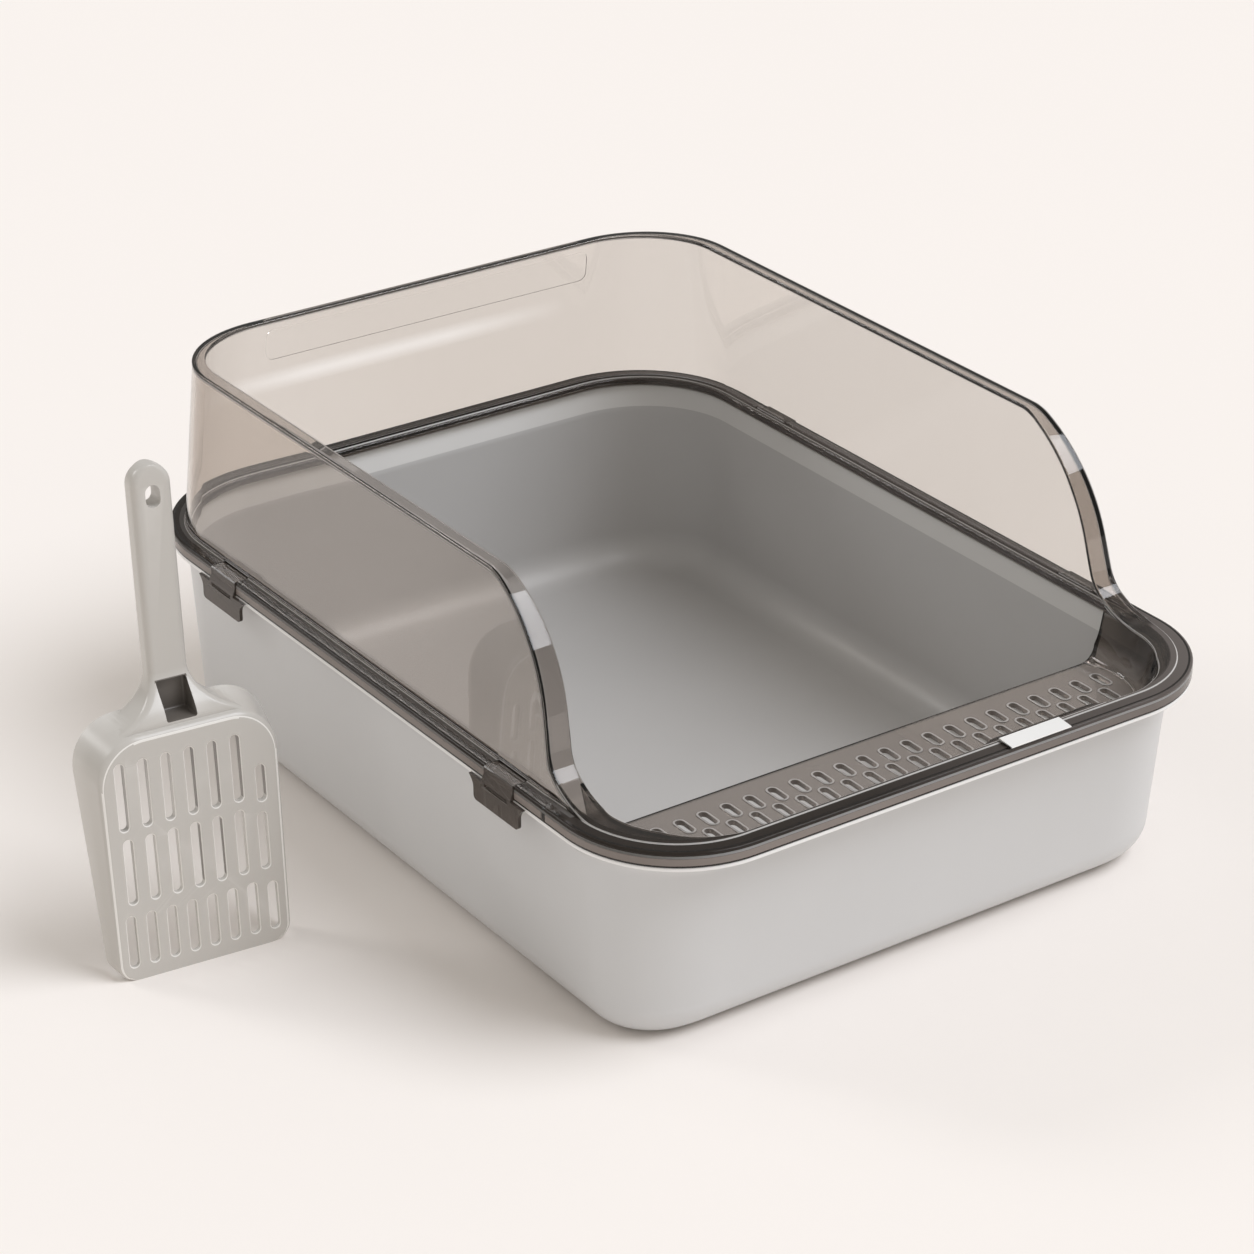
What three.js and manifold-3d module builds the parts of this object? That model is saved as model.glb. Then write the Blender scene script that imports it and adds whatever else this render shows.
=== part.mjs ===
import * as THREE from 'three';
import * as BufferGeometryUtils from 'three/addons/utils/BufferGeometryUtils.js';
import Module from 'manifold-3d';

// Semi-enclosed litter box: deep pan, clip-on smoke shield with a perforated step, and a scoop.
// Millimetres, +Z up. The floor is z = 0, the front faces -Y, and the origin lies under the middle
// of the collar's outline.

// Fits and curve steps
const fitGap = 0.3;
const cutOverrun = 3;
const weldSink = 0.3;
const sliverSize = 0.01;
const cornerSteps = 10;
const filletSteps = 4;
const pinSides = 10;

// Outline that the collar and the pan's rim share
const collarWidth = 370.7;
const collarDepth = 500;
const frontCornerRadius = 63.5;
const backCornerRadius = 74;

// Collar: skirt, flat band and the inner drip skirt
const collarTop = 118.5;
const skirtHeight = 8;
const skirtThickness = 2.2;
const collarPlate = 2.5;
const collarEdgeRound = 0.9;
const dripThickness = 1.3;
const dripSideInset = 12.9;
const dripBackInset = 14.9;
const dripRun = 0.6;
const dripHeight = 4.2;
const dripFade = 3;
const ridgeWidth = 9.5;
const ridgeRun = 4;
const padStart = 19;
const padEnd = 104;
const padTurn = 12;
const padReach = 4.2;
const padRound = 0.5;
const padSlopeRun = 1.3;

// Wall of the shield and the lip that turns in along its top
const crestHeight = 213;
const wallThickness = 2.2;
const wallSideInset = 8;
const wallBackInset = 10;
const wallFrontInset = 8.3;
const wallSideDraft = 7.7;
const wallBackDraft = 10.1;
const lipThickness = 2.2;
const lipRound = 0.7;
const lipBackWidth = 5;
const lipSideWidth = 8.5;
const lipWingWidth = 13.5;
const lipCornerWidth = 10.2;
const lipTurnWidth = 5;
const lipFrontWidth = 1.4;
const beadHeight = 0.5;

// Shallow panel in the inner face of the back wall
const panelCentre = 4.5;
const panelMiddle = 196.7;
const panelLength = 213;
const panelHeight = 18.5;
const panelCorner = 5.5;
const panelRecess = 0.4;

// Sweep of the crest down to the front, from the shoulder to the toe
const shoulderStart = 152;
const shoulderRadius = 27;
const shoulderTurn = 27;
const breastRadius = 84;
const steepAngle = 75;
const toeRadius = 20;
const toeAngle = 30;
const tailRadius = 60;
const turnShares = [1 / 2, 1];
const breastShares = [1 / 6, 2 / 6, 3 / 6, 4 / 6, 5 / 6, 1];
const toeShares = [1 / 3, 2 / 3, 1];

// Step at the front: cheeks, sloping inner wall and perforated deck
const deckTop = 95;
const deckThickness = 2.2;
const deckReach = 82;
const creaseSideInset = 28;
const creaseFrontInset = 25;
const kneeFrontInset = 22.6;
const kneeHeight = 11;
const kneeShare = 0.55;
const cheekThickness = 1.8;
const creaseRadius = 3;
const cheekEndRadius = 9;

// Holes in the deck, each in a raised rim
const holeLength = 12.6;
const holeWidth = 4.7;
const holeRim = 1.1;
const holeRimHeight = 0.5;
const holePitch = 13.85;
const holeRowPitch = 14.4;
const holeRows = 3;
const holeBackMargin = 19.5;
const holeEndMargin = 8;
const holeEndSteps = 3;

// Pan
const rimInset = 0.3;
const rimUnderside = 108.2;
const rimUnderlap = 2.2;
const rimUnderRise = 0.6;
const upstandSideInset = 8.9;
const upstandFrontInset = 5.6;
const upstandThickness = 2.7;
const upstandSideTop = 115.7;
const upstandFrontTop = 114.7;
const panWall = 3;
const panFloor = 3;
const panSideInset = 8.2;
const panFrontInset = 17.3;
const panBackInset = 14;
const panSideDraft = 5.6;
const panFrontDraft = 11.7;
const panBackDraft = 6;
const coveSideDepth = 11;
const coveFrontDepth = 14;
const flareFrontInset = 20.3;
const flareSideInset = 13;
const flareBackInset = 17.5;
const flareFrontFoot = 98.4;
const flareSideFoot = 99.5;
const flareBackFoot = 100.4;
const panBottomRadius = 21;
const panInnerRadius = 20;

// Clips
const clipFrontPlace = 130;
const clipBackPlace = 136;
const clipTopWidth = 47;
const clipBottomWidth = 39;
const clipDrop = 12.4;
const clipPlateThickness = 1.9;
const clipStandOff = 0.5;
const clipCorner = 2.5;
const clipFlareHeight = 6;
const knuckleWidth = 25;
const knuckleProud = 0.8;
const knuckleDepth = 8.4;
const knuckleChamfer = 0.5;
const axisInset = 2.6;
const axisDrop = 2.5;
const knuckleBossRadius = 2.9;
const notchDepth = 8.5;
const pinRadius = 1.5;
const pinLength = 2.5;
const pinGap = 0.4;
const pinEarLength = 4;
const pinEarDepth = 4.2;
const pinEarDrop = 3.8;
const catchReach = 2;
const catchThickness = 2.3;
const catchWidth = 30;
const slotLength = 20;
const slotHeight = 2.4;

// Front tab
const tabCentre = 50;
const tabLength = 38;
const tabDepth = 9.9;
const tabThickness = 1.5;
const tabFall = 0.9;
const tabOverhang = 0.6;
const tabCorner = 0.4;
const prongSpacing = 22;
const prongLength = 4;
const prongWidth = 1.8;
const prongInset = 4;
const prongDrop = 4.6;
const prongBarb = 0.6;

// Scoop, in its own frame: across, back from the face, and up from the mouth
const scoopHeight = 257.5;
const scoopGap = 60;
const scoopForward = 26.1;
const scoopYaw = -5.3;
const scoopLean = 4.2;
const bladeHeight = 128;
const bladeTopWidth = 94;
const bladeBottomWidth = 92;
const bladeTopRadius = 23;
const bladeBottomRadius = 9;
const bladeWall = 2.2;
const bladeEdgeRound = 3;
const basketTopDepth = 26;
const basketMouthDepth = 12;
const basketTopFlare = 5;
const basketMouthFlare = 1.5;
const bladeCornerSteps = 6;
const neckTop = 152;
const handleWidth = 20.6;
const handleThickness = 12;
const handleBack = 28;
const handleCorner = 3.5;
const handleSideSteps = 16;
const neckFront = 4;
const hangHoleWidth = 7.6;
const hangHoleLength = 11.5;
const hangHoleDrop = 15.6;
const pocketWidth = 16;
const pocketDepth = 15;
const pocketTopInset = 4;
const channelWidth = 14;
const channelDepth = 8;
const channelBottomInset = 12;
const channelTopInset = 30;
const bladeSlotWidth = 5;
const slotEndSteps = 3;
const slotRows = [
  { rise: 98.9, length: 36, pitch: 12.1, count: 7, lastLength: 20, lastDrop: 11 },
  { rise: 58.7, length: 35, pitch: 11.8, count: 7, lastLength: 31, lastDrop: 2 },
  { rise: 21.2, length: 28, pitch: 10.8, count: 8, lastLength: 26, lastDrop: 1 },
];

const wasm = await Module();
wasm.setup();

const radians = (angle) => THREE.MathUtils.degToRad(angle);
const mix = THREE.MathUtils.lerp;
const ease = (from, to, value) => THREE.MathUtils.smoothstep(value, from, to);

// Solids and booleans

// A closed geometry from points and triangles, turned so that its faces point outwards
function closedGeometry(points, faces) {
  let volume = 0;
  const cross = new THREE.Vector3();
  for (const [a, b, c] of faces) {
    volume += cross.crossVectors(points[a], points[b]).dot(points[c]);
  }
  const geometry = new THREE.BufferGeometry();
  const values = points.flatMap((point) => [point.x, point.y, point.z]);
  geometry.setAttribute('position', new THREE.Float32BufferAttribute(values, 3));
  geometry.setIndex(volume > 0 ? faces.flat() : faces.flatMap(([a, b, c]) => [a, c, b]));
  return geometry;
}

function capFaces(points, first, count) {
  const ring = points.slice(first, first + count);
  const normal = new THREE.Vector3();
  const cross = new THREE.Vector3();
  ring.forEach((point, i) => normal.add(cross.crossVectors(point, ring[(i + 1) % count])));
  const size = normal.toArray().map(Math.abs);
  const flat = ring.map((point) => {
    if (size[0] >= size[1] && size[0] >= size[2]) return new THREE.Vector2(point.y, point.z);
    if (size[1] >= size[2]) return new THREE.Vector2(point.x, point.z);
    return new THREE.Vector2(point.x, point.y);
  });
  const turned = THREE.ShapeUtils.isClockWise(flat);
  const order = ring.map((point, i) => (turned ? count - 1 - i : i));
  const triangles = THREE.ShapeUtils.triangulateShape(order.map((i) => flat[i]), []);
  return triangles.map(([a, b, c]) => {
    const face = [order[a], order[b], order[c]].map((i) => first + i);
    return turned ? [face[0], face[2], face[1]] : face;
  });
}

// A solid through rings of equal count, with its ends capped or its last ring joined to its first
function loft(rings, joined = false) {
  const count = rings[0].length;
  const points = rings.flat();
  const faces = [];
  const spans = joined ? rings.length : rings.length - 1;
  for (let k = 0; k < spans; k += 1) {
    const low = k * count;
    const high = ((k + 1) % rings.length) * count;
    for (let i = 0; i < count; i += 1) {
      const j = (i + 1) % count;
      faces.push([low + i, low + j, high + j], [low + i, high + j, high + i]);
    }
  }
  if (!joined) {
    faces.push(...endCap(points, 0, count, faces, 0));
    faces.push(...endCap(points, points.length - count, count, faces, points.length - count));
  }
  return closedGeometry(points, faces);
}

// The cap's triangles run each shared edge the other way from the side faces
function endCap(points, first, count, faces, start) {
  const cap = capFaces(points, first, count);
  const edges = new Set(faces.flatMap(([a, b, c]) => [`${a},${b}`, `${b},${c}`, `${c},${a}`]));
  const clash = cap.some(([a, b, c]) => [[a, b], [b, c], [c, a]].some(([p, q]) => edges.has(`${p},${q}`)));
  return clash ? cap.map(([a, b, c]) => [a, c, b]) : cap;
}

function solidOf(geometry) {
  const bare = geometry.clone();
  bare.deleteAttribute('normal');
  bare.deleteAttribute('uv');
  const merged = BufferGeometryUtils.mergeVertices(bare);
  return new wasm.Manifold(new wasm.Mesh({
    numProp: 3,
    vertProperties: new Float32Array(merged.attributes.position.array),
    triVerts: new Uint32Array(merged.index.array),
  }));
}

// The solid's geometry, with the slivers that its cuts left taken out
function geometryOf(solid) {
  const mesh = solid.simplify(sliverSize).getMesh();
  const values = [];
  for (let i = 0; i < mesh.vertProperties.length; i += mesh.numProp) {
    values.push(...mesh.vertProperties.slice(i, i + 3));
  }
  const geometry = new THREE.BufferGeometry();
  geometry.setAttribute('position', new THREE.Float32BufferAttribute(values, 3));
  geometry.setIndex([...mesh.triVerts]);
  return geometry;
}

const joinAll = (geometries) => geometries.map(solidOf).reduce((whole, solid) => whole.add(solid));
const cutAll = (solid, geometries) => geometries.map(solidOf).reduce((left, tool) => left.subtract(tool), solid);

function block(width, depth, height, x, y, z) {
  return new THREE.BoxGeometry(width, depth, height).translate(x, y, z);
}

// A flat outline drawn as [first, second] pairs and given a thickness
function plate(outline, thickness) {
  const shape = new THREE.Shape(outline.map(([a, b]) => new THREE.Vector2(a, b)));
  return new THREE.ExtrudeGeometry(shape, { depth: thickness, bevelEnabled: false });
}

// A slot's outline, long in the second direction
function slotOutline(width, length, steps) {
  const radius = width / 2;
  const reach = length / 2 - radius;
  const points = [];
  for (const [side, start] of [[1, 0], [-1, Math.PI]]) {
    for (let i = 0; i <= steps; i += 1) {
      const angle = start + (Math.PI * i) / steps;
      points.push([radius * Math.cos(angle), side * reach + radius * Math.sin(angle)]);
    }
  }
  return points;
}

// A rounded rectangle's outline about the origin
function roundedOutline(length, height, radius) {
  const points = [];
  for (const [k, across, up] of [[0, 1, 1], [1, -1, 1], [2, -1, -1], [3, 1, -1]]) {
    for (let i = 0; i <= filletSteps; i += 1) {
      const angle = (Math.PI / 2) * (k + i / filletSteps);
      points.push([
        across * (length / 2 - radius) + radius * Math.cos(angle),
        up * (height / 2 - radius) + radius * Math.sin(angle),
      ]);
    }
  }
  return points;
}

// Shared outline

const frontFlat = collarWidth / 2 - frontCornerRadius;
const frontArc = frontCornerRadius * Math.PI / 2;
const sideFlat = collarDepth - frontCornerRadius - backCornerRadius;
const backArc = backCornerRadius * Math.PI / 2;
const sideStart = frontFlat + frontArc;
const sideEnd = sideStart + sideFlat;
const backStart = sideEnd + backArc;
const halfLength = backStart + collarWidth / 2 - backCornerRadius;

// The outline's point and inward direction, by distance along it from the middle of the front
function outlineAt(distance) {
  const halfWidth = collarWidth / 2;
  const halfDepth = collarDepth / 2;
  if (distance <= frontFlat) return { x: distance, y: -halfDepth, nx: 0, ny: 1 };
  if (distance < sideStart) {
    const angle = (distance - frontFlat) / frontCornerRadius;
    return {
      x: frontFlat + frontCornerRadius * Math.sin(angle),
      y: frontCornerRadius - halfDepth - frontCornerRadius * Math.cos(angle),
      nx: -Math.sin(angle),
      ny: Math.cos(angle),
    };
  }
  if (distance <= sideEnd) {
    return { x: halfWidth, y: frontCornerRadius - halfDepth + distance - sideStart, nx: -1, ny: 0 };
  }
  if (distance < backStart) {
    const angle = (distance - sideEnd) / backCornerRadius;
    return {
      x: halfWidth - backCornerRadius + backCornerRadius * Math.cos(angle),
      y: halfDepth - backCornerRadius + backCornerRadius * Math.sin(angle),
      nx: -Math.cos(angle),
      ny: -Math.sin(angle),
    };
  }
  return { x: halfLength - distance, y: halfDepth, nx: 0, ny: -1 };
}

// The same point on the right half and, mirrored, on the left
function station(distance, mirrored) {
  const place = outlineAt(distance);
  const side = mirrored ? -1 : 1;
  return { distance, side, x: side * place.x, y: place.y, nx: side * place.nx, ny: place.ny };
}

// Stations all the way round from half of them, which include both ends
function roundStations(distances) {
  const right = distances.map((distance) => station(distance, false));
  const left = distances.slice(1, -1).reverse().map((distance) => station(distance, true));
  return [...right, ...left];
}

function inboard(place, inset, height, setBack = 0) {
  return new THREE.Vector3(place.x + place.nx * inset, place.y + place.ny * inset + setBack, height);
}

// A size that has one value at the front, one at the sides and one at the back
function around(place, front, side, back) {
  const facing = place.ny * place.ny;
  return mix(side, place.ny > 0 ? front : back, facing);
}

const cornerDistances = (start, arc) =>
  Array.from({ length: cornerSteps + 1 }, (unused, i) => start + (arc * i) / cornerSteps);
const plainDistances = [
  0,
  ...cornerDistances(frontFlat, frontArc),
  ...cornerDistances(sideEnd, backArc),
  halfLength,
];

// Pan

function panGeometry() {
  const stations = roundStations(plainDistances);
  const rings = [];
  const addRing = (insetOf, heightOf) => {
    rings.push(stations.map((place) => inboard(place, insetOf(place), heightOf(place))));
  };
  const draftAt = (place) => around(place, panFrontDraft, panSideDraft, panBackDraft);
  const topInset = (place) => around(place, panFrontInset, panSideInset, panBackInset);
  const coveDepth = (place) => around(place, coveFrontDepth, coveSideDepth, coveFrontDepth);
  const coveFoot = (place) => rimUnderside - coveDepth(place);
  const outerInset = (place, height) => {
    return topInset(place) + draftAt(place) * (1 - height / coveFoot(place));
  };
  const rimLip = rimInset + rimUnderlap;

  const bottomInset = (place) => outerInset(place, panBottomRadius);
  for (let i = 0; i <= filletSteps; i += 1) {
    const angle = (Math.PI / 2) * (i / filletSteps);
    addRing(
      (place) => bottomInset(place) + panBottomRadius * (1 - Math.sin(angle)),
      () => panBottomRadius * (1 - Math.cos(angle)),
    );
  }
  for (let i = 0; i <= filletSteps; i += 1) {
    const angle = (Math.PI / 2) * (i / filletSteps);
    addRing(
      (place) => topInset(place) - (topInset(place) - rimLip) * (1 - Math.cos(angle)),
      (place) => coveFoot(place) + (coveDepth(place) - rimUnderRise) * Math.sin(angle),
    );
  }
  const skirtBottom = collarTop - skirtHeight;
  const upstandInset = (place) => around(place, upstandFrontInset, upstandSideInset, upstandSideInset);
  const upstandTop = (place) => around(place, upstandFrontTop, upstandSideTop, upstandSideTop);
  const innerTop = (place) => upstandInset(place) + upstandThickness;
  const innerWall = (place, height) => outerInset(place, height) + panWall;
  const flareInset = (place) => around(place, flareFrontInset, flareSideInset, flareBackInset);
  const flareFoot = (place) => around(place, flareFrontFoot, flareSideFoot, flareBackFoot);
  addRing(() => rimInset, () => rimUnderside);
  addRing(() => rimInset, () => skirtBottom - fitGap);
  addRing(upstandInset, () => skirtBottom - fitGap);
  addRing(upstandInset, upstandTop);
  addRing(innerTop, upstandTop);
  addRing(innerTop, (place) => upstandTop(place) - upstandThickness / 2);
  addRing(flareInset, flareFoot);
  const innerFoot = panFloor + panInnerRadius;
  for (let i = 0; i <= filletSteps; i += 1) {
    const angle = (Math.PI / 2) * (i / filletSteps);
    addRing(
      (place) => innerWall(place, innerFoot) + panInnerRadius * (1 - Math.cos(angle)),
      () => panFloor + panInnerRadius * (1 - Math.sin(angle)),
    );
  }
  return loft(rings);
}

// Shield

const beadTop = collarTop + beadHeight;

// The crest's fall from the shoulder to the bead as points with their slope
function crestSweep() {
  const points = [{ run: 0, drop: 0, slope: 0 }];
  let run = 0;
  let drop = 0;
  const arc = (radius, from, to, shares) => {
    for (const share of shares) {
      const slope = radians(mix(from, to, share));
      const bend = Math.sign(to - from) * radius;
      points.push({
        run: run + bend * (Math.sin(slope) - Math.sin(radians(from))),
        drop: drop - bend * (Math.cos(slope) - Math.cos(radians(from))),
        slope,
      });
    }
    run = points[points.length - 1].run;
    drop = points[points.length - 1].drop;
  };
  arc(shoulderRadius, 0, shoulderTurn, turnShares);
  arc(breastRadius, shoulderTurn, steepAngle, breastShares);
  const cosine = (angle) => Math.cos(radians(angle));
  const toeDrop = toeRadius * (cosine(toeAngle) - cosine(steepAngle));
  const tailDrop = tailRadius * (1 - cosine(toeAngle));
  const straightDrop = crestHeight - beadTop - drop - toeDrop - tailDrop;
  run += straightDrop / Math.tan(radians(steepAngle));
  drop += straightDrop;
  points.push({ run, drop, slope: radians(steepAngle) });
  arc(toeRadius, steepAngle, toeAngle, toeShares);
  arc(tailRadius, toeAngle, 0, toeShares);
  return points;
}

const shoulderDistance = sideStart + shoulderStart - frontCornerRadius;
const sweep = crestSweep().map(({ run, drop, slope }) => ({
  distance: shoulderDistance - run,
  height: crestHeight - drop,
  slope,
}));

function crestAt(distance) {
  if (distance >= sweep[0].distance) return { height: crestHeight, slope: 0 };
  const after = sweep.findIndex((point) => point.distance <= distance);
  if (after < 0) return { height: beadTop, slope: 0 };
  const low = sweep[after];
  const high = sweep[after - 1];
  const share = (distance - low.distance) / (high.distance - low.distance);
  return { height: mix(low.height, high.height, share), slope: mix(low.slope, high.slope, share) };
}

// The lip's width, widest on the wings and dying out round the front corners
function lipWidthAt(distance) {
  const cornerMiddle = frontFlat + frontArc / 2;
  const cornerTurn = frontFlat + frontArc / 4;
  const wing = sideStart;
  const stops = [
    [frontFlat, lipFrontWidth],
    [cornerTurn, lipTurnWidth],
    [cornerMiddle, lipCornerWidth],
    [wing, lipWingWidth],
    [sweep[sweep.length - 1].distance + deckReach / 2, lipWingWidth],
    [shoulderDistance, lipSideWidth],
    [sideEnd, lipSideWidth],
    [backStart, lipBackWidth],
  ];
  if (distance <= stops[0][0]) return lipFrontWidth;
  const next = stops.findIndex(([reach]) => distance <= reach);
  if (next < 0) return lipBackWidth;
  const [from, narrow] = stops[next - 1];
  const [to, wide] = stops[next];
  return mix(narrow, wide, (distance - from) / (to - from));
}

const wallHeight = crestHeight - collarTop;
const wallInset = (place, height) => {
  const base = around(place, wallFrontInset, wallSideInset, wallBackInset);
  const draft = around(place, 0, wallSideDraft, wallBackDraft);
  return base + (draft * Math.max(height - collarTop, 0)) / wallHeight;
};
const lipInnerInset = (place) => {
  return wallInset(place, crestAt(place.distance).height) + lipWidthAt(place.distance);
};

// Skirt, flat band and drip skirt, as one ring
function collarRing() {
  const rings = roundStations(plainDistances).map((place) => {
    const dripTop = around(place, ridgeWidth, dripSideInset, dripBackInset);
    const fade = place.ny > 0 ? Math.min(dripFade * place.ny * place.ny, 1) : 0;
    const run = mix(dripRun, ridgeRun, fade);
    const lean = run / dripHeight;
    const breadth = dripThickness * Math.hypot(1, lean);
    const underside = collarTop - collarPlate;
    const dripFoot = collarTop - dripHeight;
    return [
      [0, collarTop - skirtHeight],
      [0, collarTop - collarEdgeRound],
      [collarEdgeRound, collarTop],
      [dripTop, collarTop],
      [dripTop + run, dripFoot],
      [dripTop + run - breadth, dripFoot],
      [dripTop + lean * collarPlate - breadth, underside],
      [skirtThickness, underside],
      [skirtThickness, collarTop - skirtHeight],
    ].map(([inset, height]) => inboard(place, inset, height));
  });
  return loft(rings, true);
}

// Wall and turned-in lip, following the crest, as one ring
function wallRing() {
  const between = sweep.map((point) => point.distance);
  const nearSweep = (distance) => between.some((other) => Math.abs(other - distance) < lipThickness);
  const distances = [...plainDistances.filter((distance) => !nearSweep(distance)), ...between];
  distances.sort((a, b) => a - b);
  const rings = roundStations(distances).map((place) => {
    const { height, slope } = crestAt(place.distance);
    const width = Math.max(lipWidthAt(place.distance), lipFrontWidth);
    const into = (depth) => ({ back: depth * Math.sin(slope), down: depth * Math.cos(slope) });
    const edge = into(lipRound);
    const under = into(lipThickness);
    const outer = wallInset(place, height);
    const round = Math.min(lipRound, width / 3);
    const wall = Math.min(wallThickness, width);
    const foot = collarTop - collarPlate + weldSink;
    const base = wallInset(place, collarTop);
    return [
      inboard(place, base, foot),
      inboard(place, outer, height - edge.down, edge.back),
      inboard(place, outer + round, height),
      inboard(place, outer + width - round, height),
      inboard(place, outer + width, height - edge.down, edge.back),
      inboard(place, outer + width, height - under.down, under.back),
      inboard(place, outer + wall, height - under.down, under.back),
      inboard(place, base + wall, foot),
    ];
  });
  return loft(rings, true);
}

// The cutter of the back wall's panel, leaning as the wall does
function panelCutter() {
  const lean = Math.atan(wallBackDraft / wallHeight);
  const inset = wallBackInset + wallThickness + Math.tan(lean) * (panelMiddle - collarTop);
  return plate(roundedOutline(panelLength, panelHeight, panelCorner), panelRecess + cutOverrun)
    .rotateX(Math.PI / 2 + lean)
    .translate(panelCentre, collarDepth / 2 - inset + panelRecess, panelMiddle);
}

const crestHeightAtFront = beadTop - lipRound;
const cheekEnd = sideStart + deckReach - frontCornerRadius;
const creaseInset = (place) => around(place, creaseFrontInset, creaseSideInset, creaseSideInset);
const creaseFillet = (place) => {
  return mix(creaseRadius, cheekEndRadius, ease(sideStart, cheekEnd, place.distance));
};

function cheekStations() {
  const distances = [
    0,
    ...cornerDistances(frontFlat, frontArc),
    ...sweep.map((point) => point.distance).filter((distance) => distance > sideStart + fitGap),
  ].filter((distance) => distance < cheekEnd - fitGap);
  distances.push(cheekEnd);
  distances.sort((a, b) => a - b);
  const right = distances.map((distance) => station(distance, false)).reverse();
  const left = distances.slice(1).map((distance) => station(distance, true));
  return [...right, ...left];
}

// Cheeks and sloping inner wall, from the lip's inner edge down to the deck
function cheekStrip() {
  const rings = cheekStations().map((place) => {
    const crest = crestAt(place.distance).height;
    const top = lipInnerInset(place);
    const crease = creaseInset(place);
    const fillet = creaseFillet(place);
    const facing = place.ny * place.ny;
    const knee = mix(mix(top, crease, kneeShare), kneeFrontInset, facing);
    const kneeTop = mix(mix(crest, deckTop, kneeShare), deckTop + kneeHeight, facing);
    const back = cheekThickness * Math.SQRT2;
    const floor = deckTop - deckThickness;
    const rounded = Array.from({ length: filletSteps + 1 }, (unused, i) => {
      const angle = (Math.PI / 2) * (i / filletSteps);
      return [crease + fillet * (1 - Math.cos(angle)), deckTop + fillet * (1 - Math.sin(angle))];
    });
    return [
      [top, crest - lipRound],
      [knee, kneeTop],
      ...rounded,
      [crease + fillet, floor],
      [crease + fillet / 2, floor],
      [crease - cheekThickness, deckTop],
      [mix(knee - cheekThickness, knee - back, facing), kneeTop - mix(0, weldSink, facing)],
      [top - mix(cheekThickness, 0, facing), crest - mix(lipThickness, collarPlate + beadHeight, facing)],
    ].map(([inset, height]) => inboard(place, inset, height));
  });
  return loft(rings);
}

// The ridge's wider stretch beside the tab: a wedge on the sloping wall, easing in at both ends
function ridgePad() {
  const crestEdge = wallFrontInset + lipFrontWidth;
  const slope = (crestHeightAtFront - deckTop - kneeHeight) / (kneeFrontInset - crestEdge);
  const slopeAt = (inset) => crestHeightAtFront - slope * (inset - crestEdge);
  const turns = Array.from({ length: filletSteps + 1 }, (unused, i) => i / filletSteps);
  const places = [
    ...turns.map((share) => [padStart + padTurn * share, ease(0, 1, share)]),
    ...turns.map((share) => [padEnd - padTurn * (1 - share), ease(0, 1, 1 - share)]),
  ];
  const rings = places.map(([x, share]) => {
    const edge = crestEdge + mix(-lipRound / 2, padReach, share);
    const run = mix(weldSink, padSlopeRun, share);
    return [
      [crestEdge - lipRound, collarTop - padSlopeRun],
      [crestEdge - lipRound, collarTop + weldSink],
      [edge - mix(0, padRound, share), collarTop + weldSink],
      [edge, collarTop + weldSink - padRound],
      [edge + run, slopeAt(edge + run) - lipRound],
    ].map(([inset, height]) => new THREE.Vector3(x, inset - collarDepth / 2, height));
  });
  return loft(rings);
}

const deckBack = deckReach - collarDepth / 2;
const deckHalfWidth = collarWidth / 2 - creaseSideInset;

function deckOutline(inset) {
  return cheekStations().map((place) => {
    const point = inboard(place, creaseInset(place) + inset, 0);
    return [point.x, point.y];
  });
}

// Centres of the holes: rows half a pitch apart, as many as fit between the creases
function holeCentres() {
  const centres = [];
  for (let row = 0; row < holeRows; row += 1) {
    const y = deckBack - holeBackMargin - row * holeRowPitch;
    const cornerStart = frontCornerRadius - collarDepth / 2;
    const below = Math.max(cornerStart - (y - holeLength / 2), 0);
    const cornerReach = frontCornerRadius - creaseSideInset;
    const pulledIn = cornerReach - Math.sqrt(Math.max(cornerReach ** 2 - below ** 2, 0));
    const room = deckHalfWidth - pulledIn - holeEndMargin;
    const shift = row % 2 === 0 ? holePitch / 2 : 0;
    for (let x = shift; x <= room; x += holePitch) {
      centres.push([x, y]);
      if (x > 0) centres.push([-x, y]);
    }
  }
  return centres;
}

function raisedRims() {
  const outline = slotOutline(holeWidth + 2 * holeRim, holeLength + 2 * holeRim, holeEndSteps);
  const height = holeRimHeight + weldSink;
  return holeCentres().map(([x, y]) => plate(outline, height).translate(x, y, deckTop - weldSink));
}

function deckHoles() {
  const outline = slotOutline(holeWidth, holeLength, holeEndSteps);
  const height = deckThickness + holeRimHeight + 2 * cutOverrun;
  const foot = deckTop - deckThickness - cutOverrun;
  return holeCentres().map(([x, y]) => plate(outline, height).translate(x, y, foot));
}

// Clip places: which side, which end, and the hinge line's place
const axisHeight = collarTop - axisDrop;
const clipPlaces = [
  { name: 'clip_front_left', side: -1, y: -clipFrontPlace },
  { name: 'clip_front_right', side: 1, y: -clipFrontPlace },
  { name: 'clip_back_left', side: -1, y: clipBackPlace },
  { name: 'clip_back_right', side: 1, y: clipBackPlace },
];
const sideX = (side, inset) => side * (collarWidth / 2 - inset);

function clipEars({ side, y }) {
  const reach = knuckleWidth / 2 + fitGap + pinEarLength / 2;
  const depth = pinEarDepth + weldSink;
  const height = pinEarDrop + axisDrop;
  return [-1, 1].map((end) => block(
    depth,
    pinEarLength,
    height,
    sideX(side, skirtThickness - weldSink + depth / 2),
    y + end * reach,
    collarTop - weldSink - height / 2,
  ));
}

function pinBar(radius, length, { side, y }) {
  const bar = new THREE.CylinderGeometry(radius, radius, length, pinSides);
  return bar.translate(sideX(side, axisInset), y, axisHeight);
}

function clipNotch({ side, y }) {
  const width = notchDepth + cutOverrun;
  const height = skirtHeight + 2 * cutOverrun;
  return block(
    width,
    knuckleWidth + 2 * fitGap,
    height,
    sideX(side, notchDepth - width / 2),
    y,
    collarTop - skirtHeight / 2,
  );
}

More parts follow.
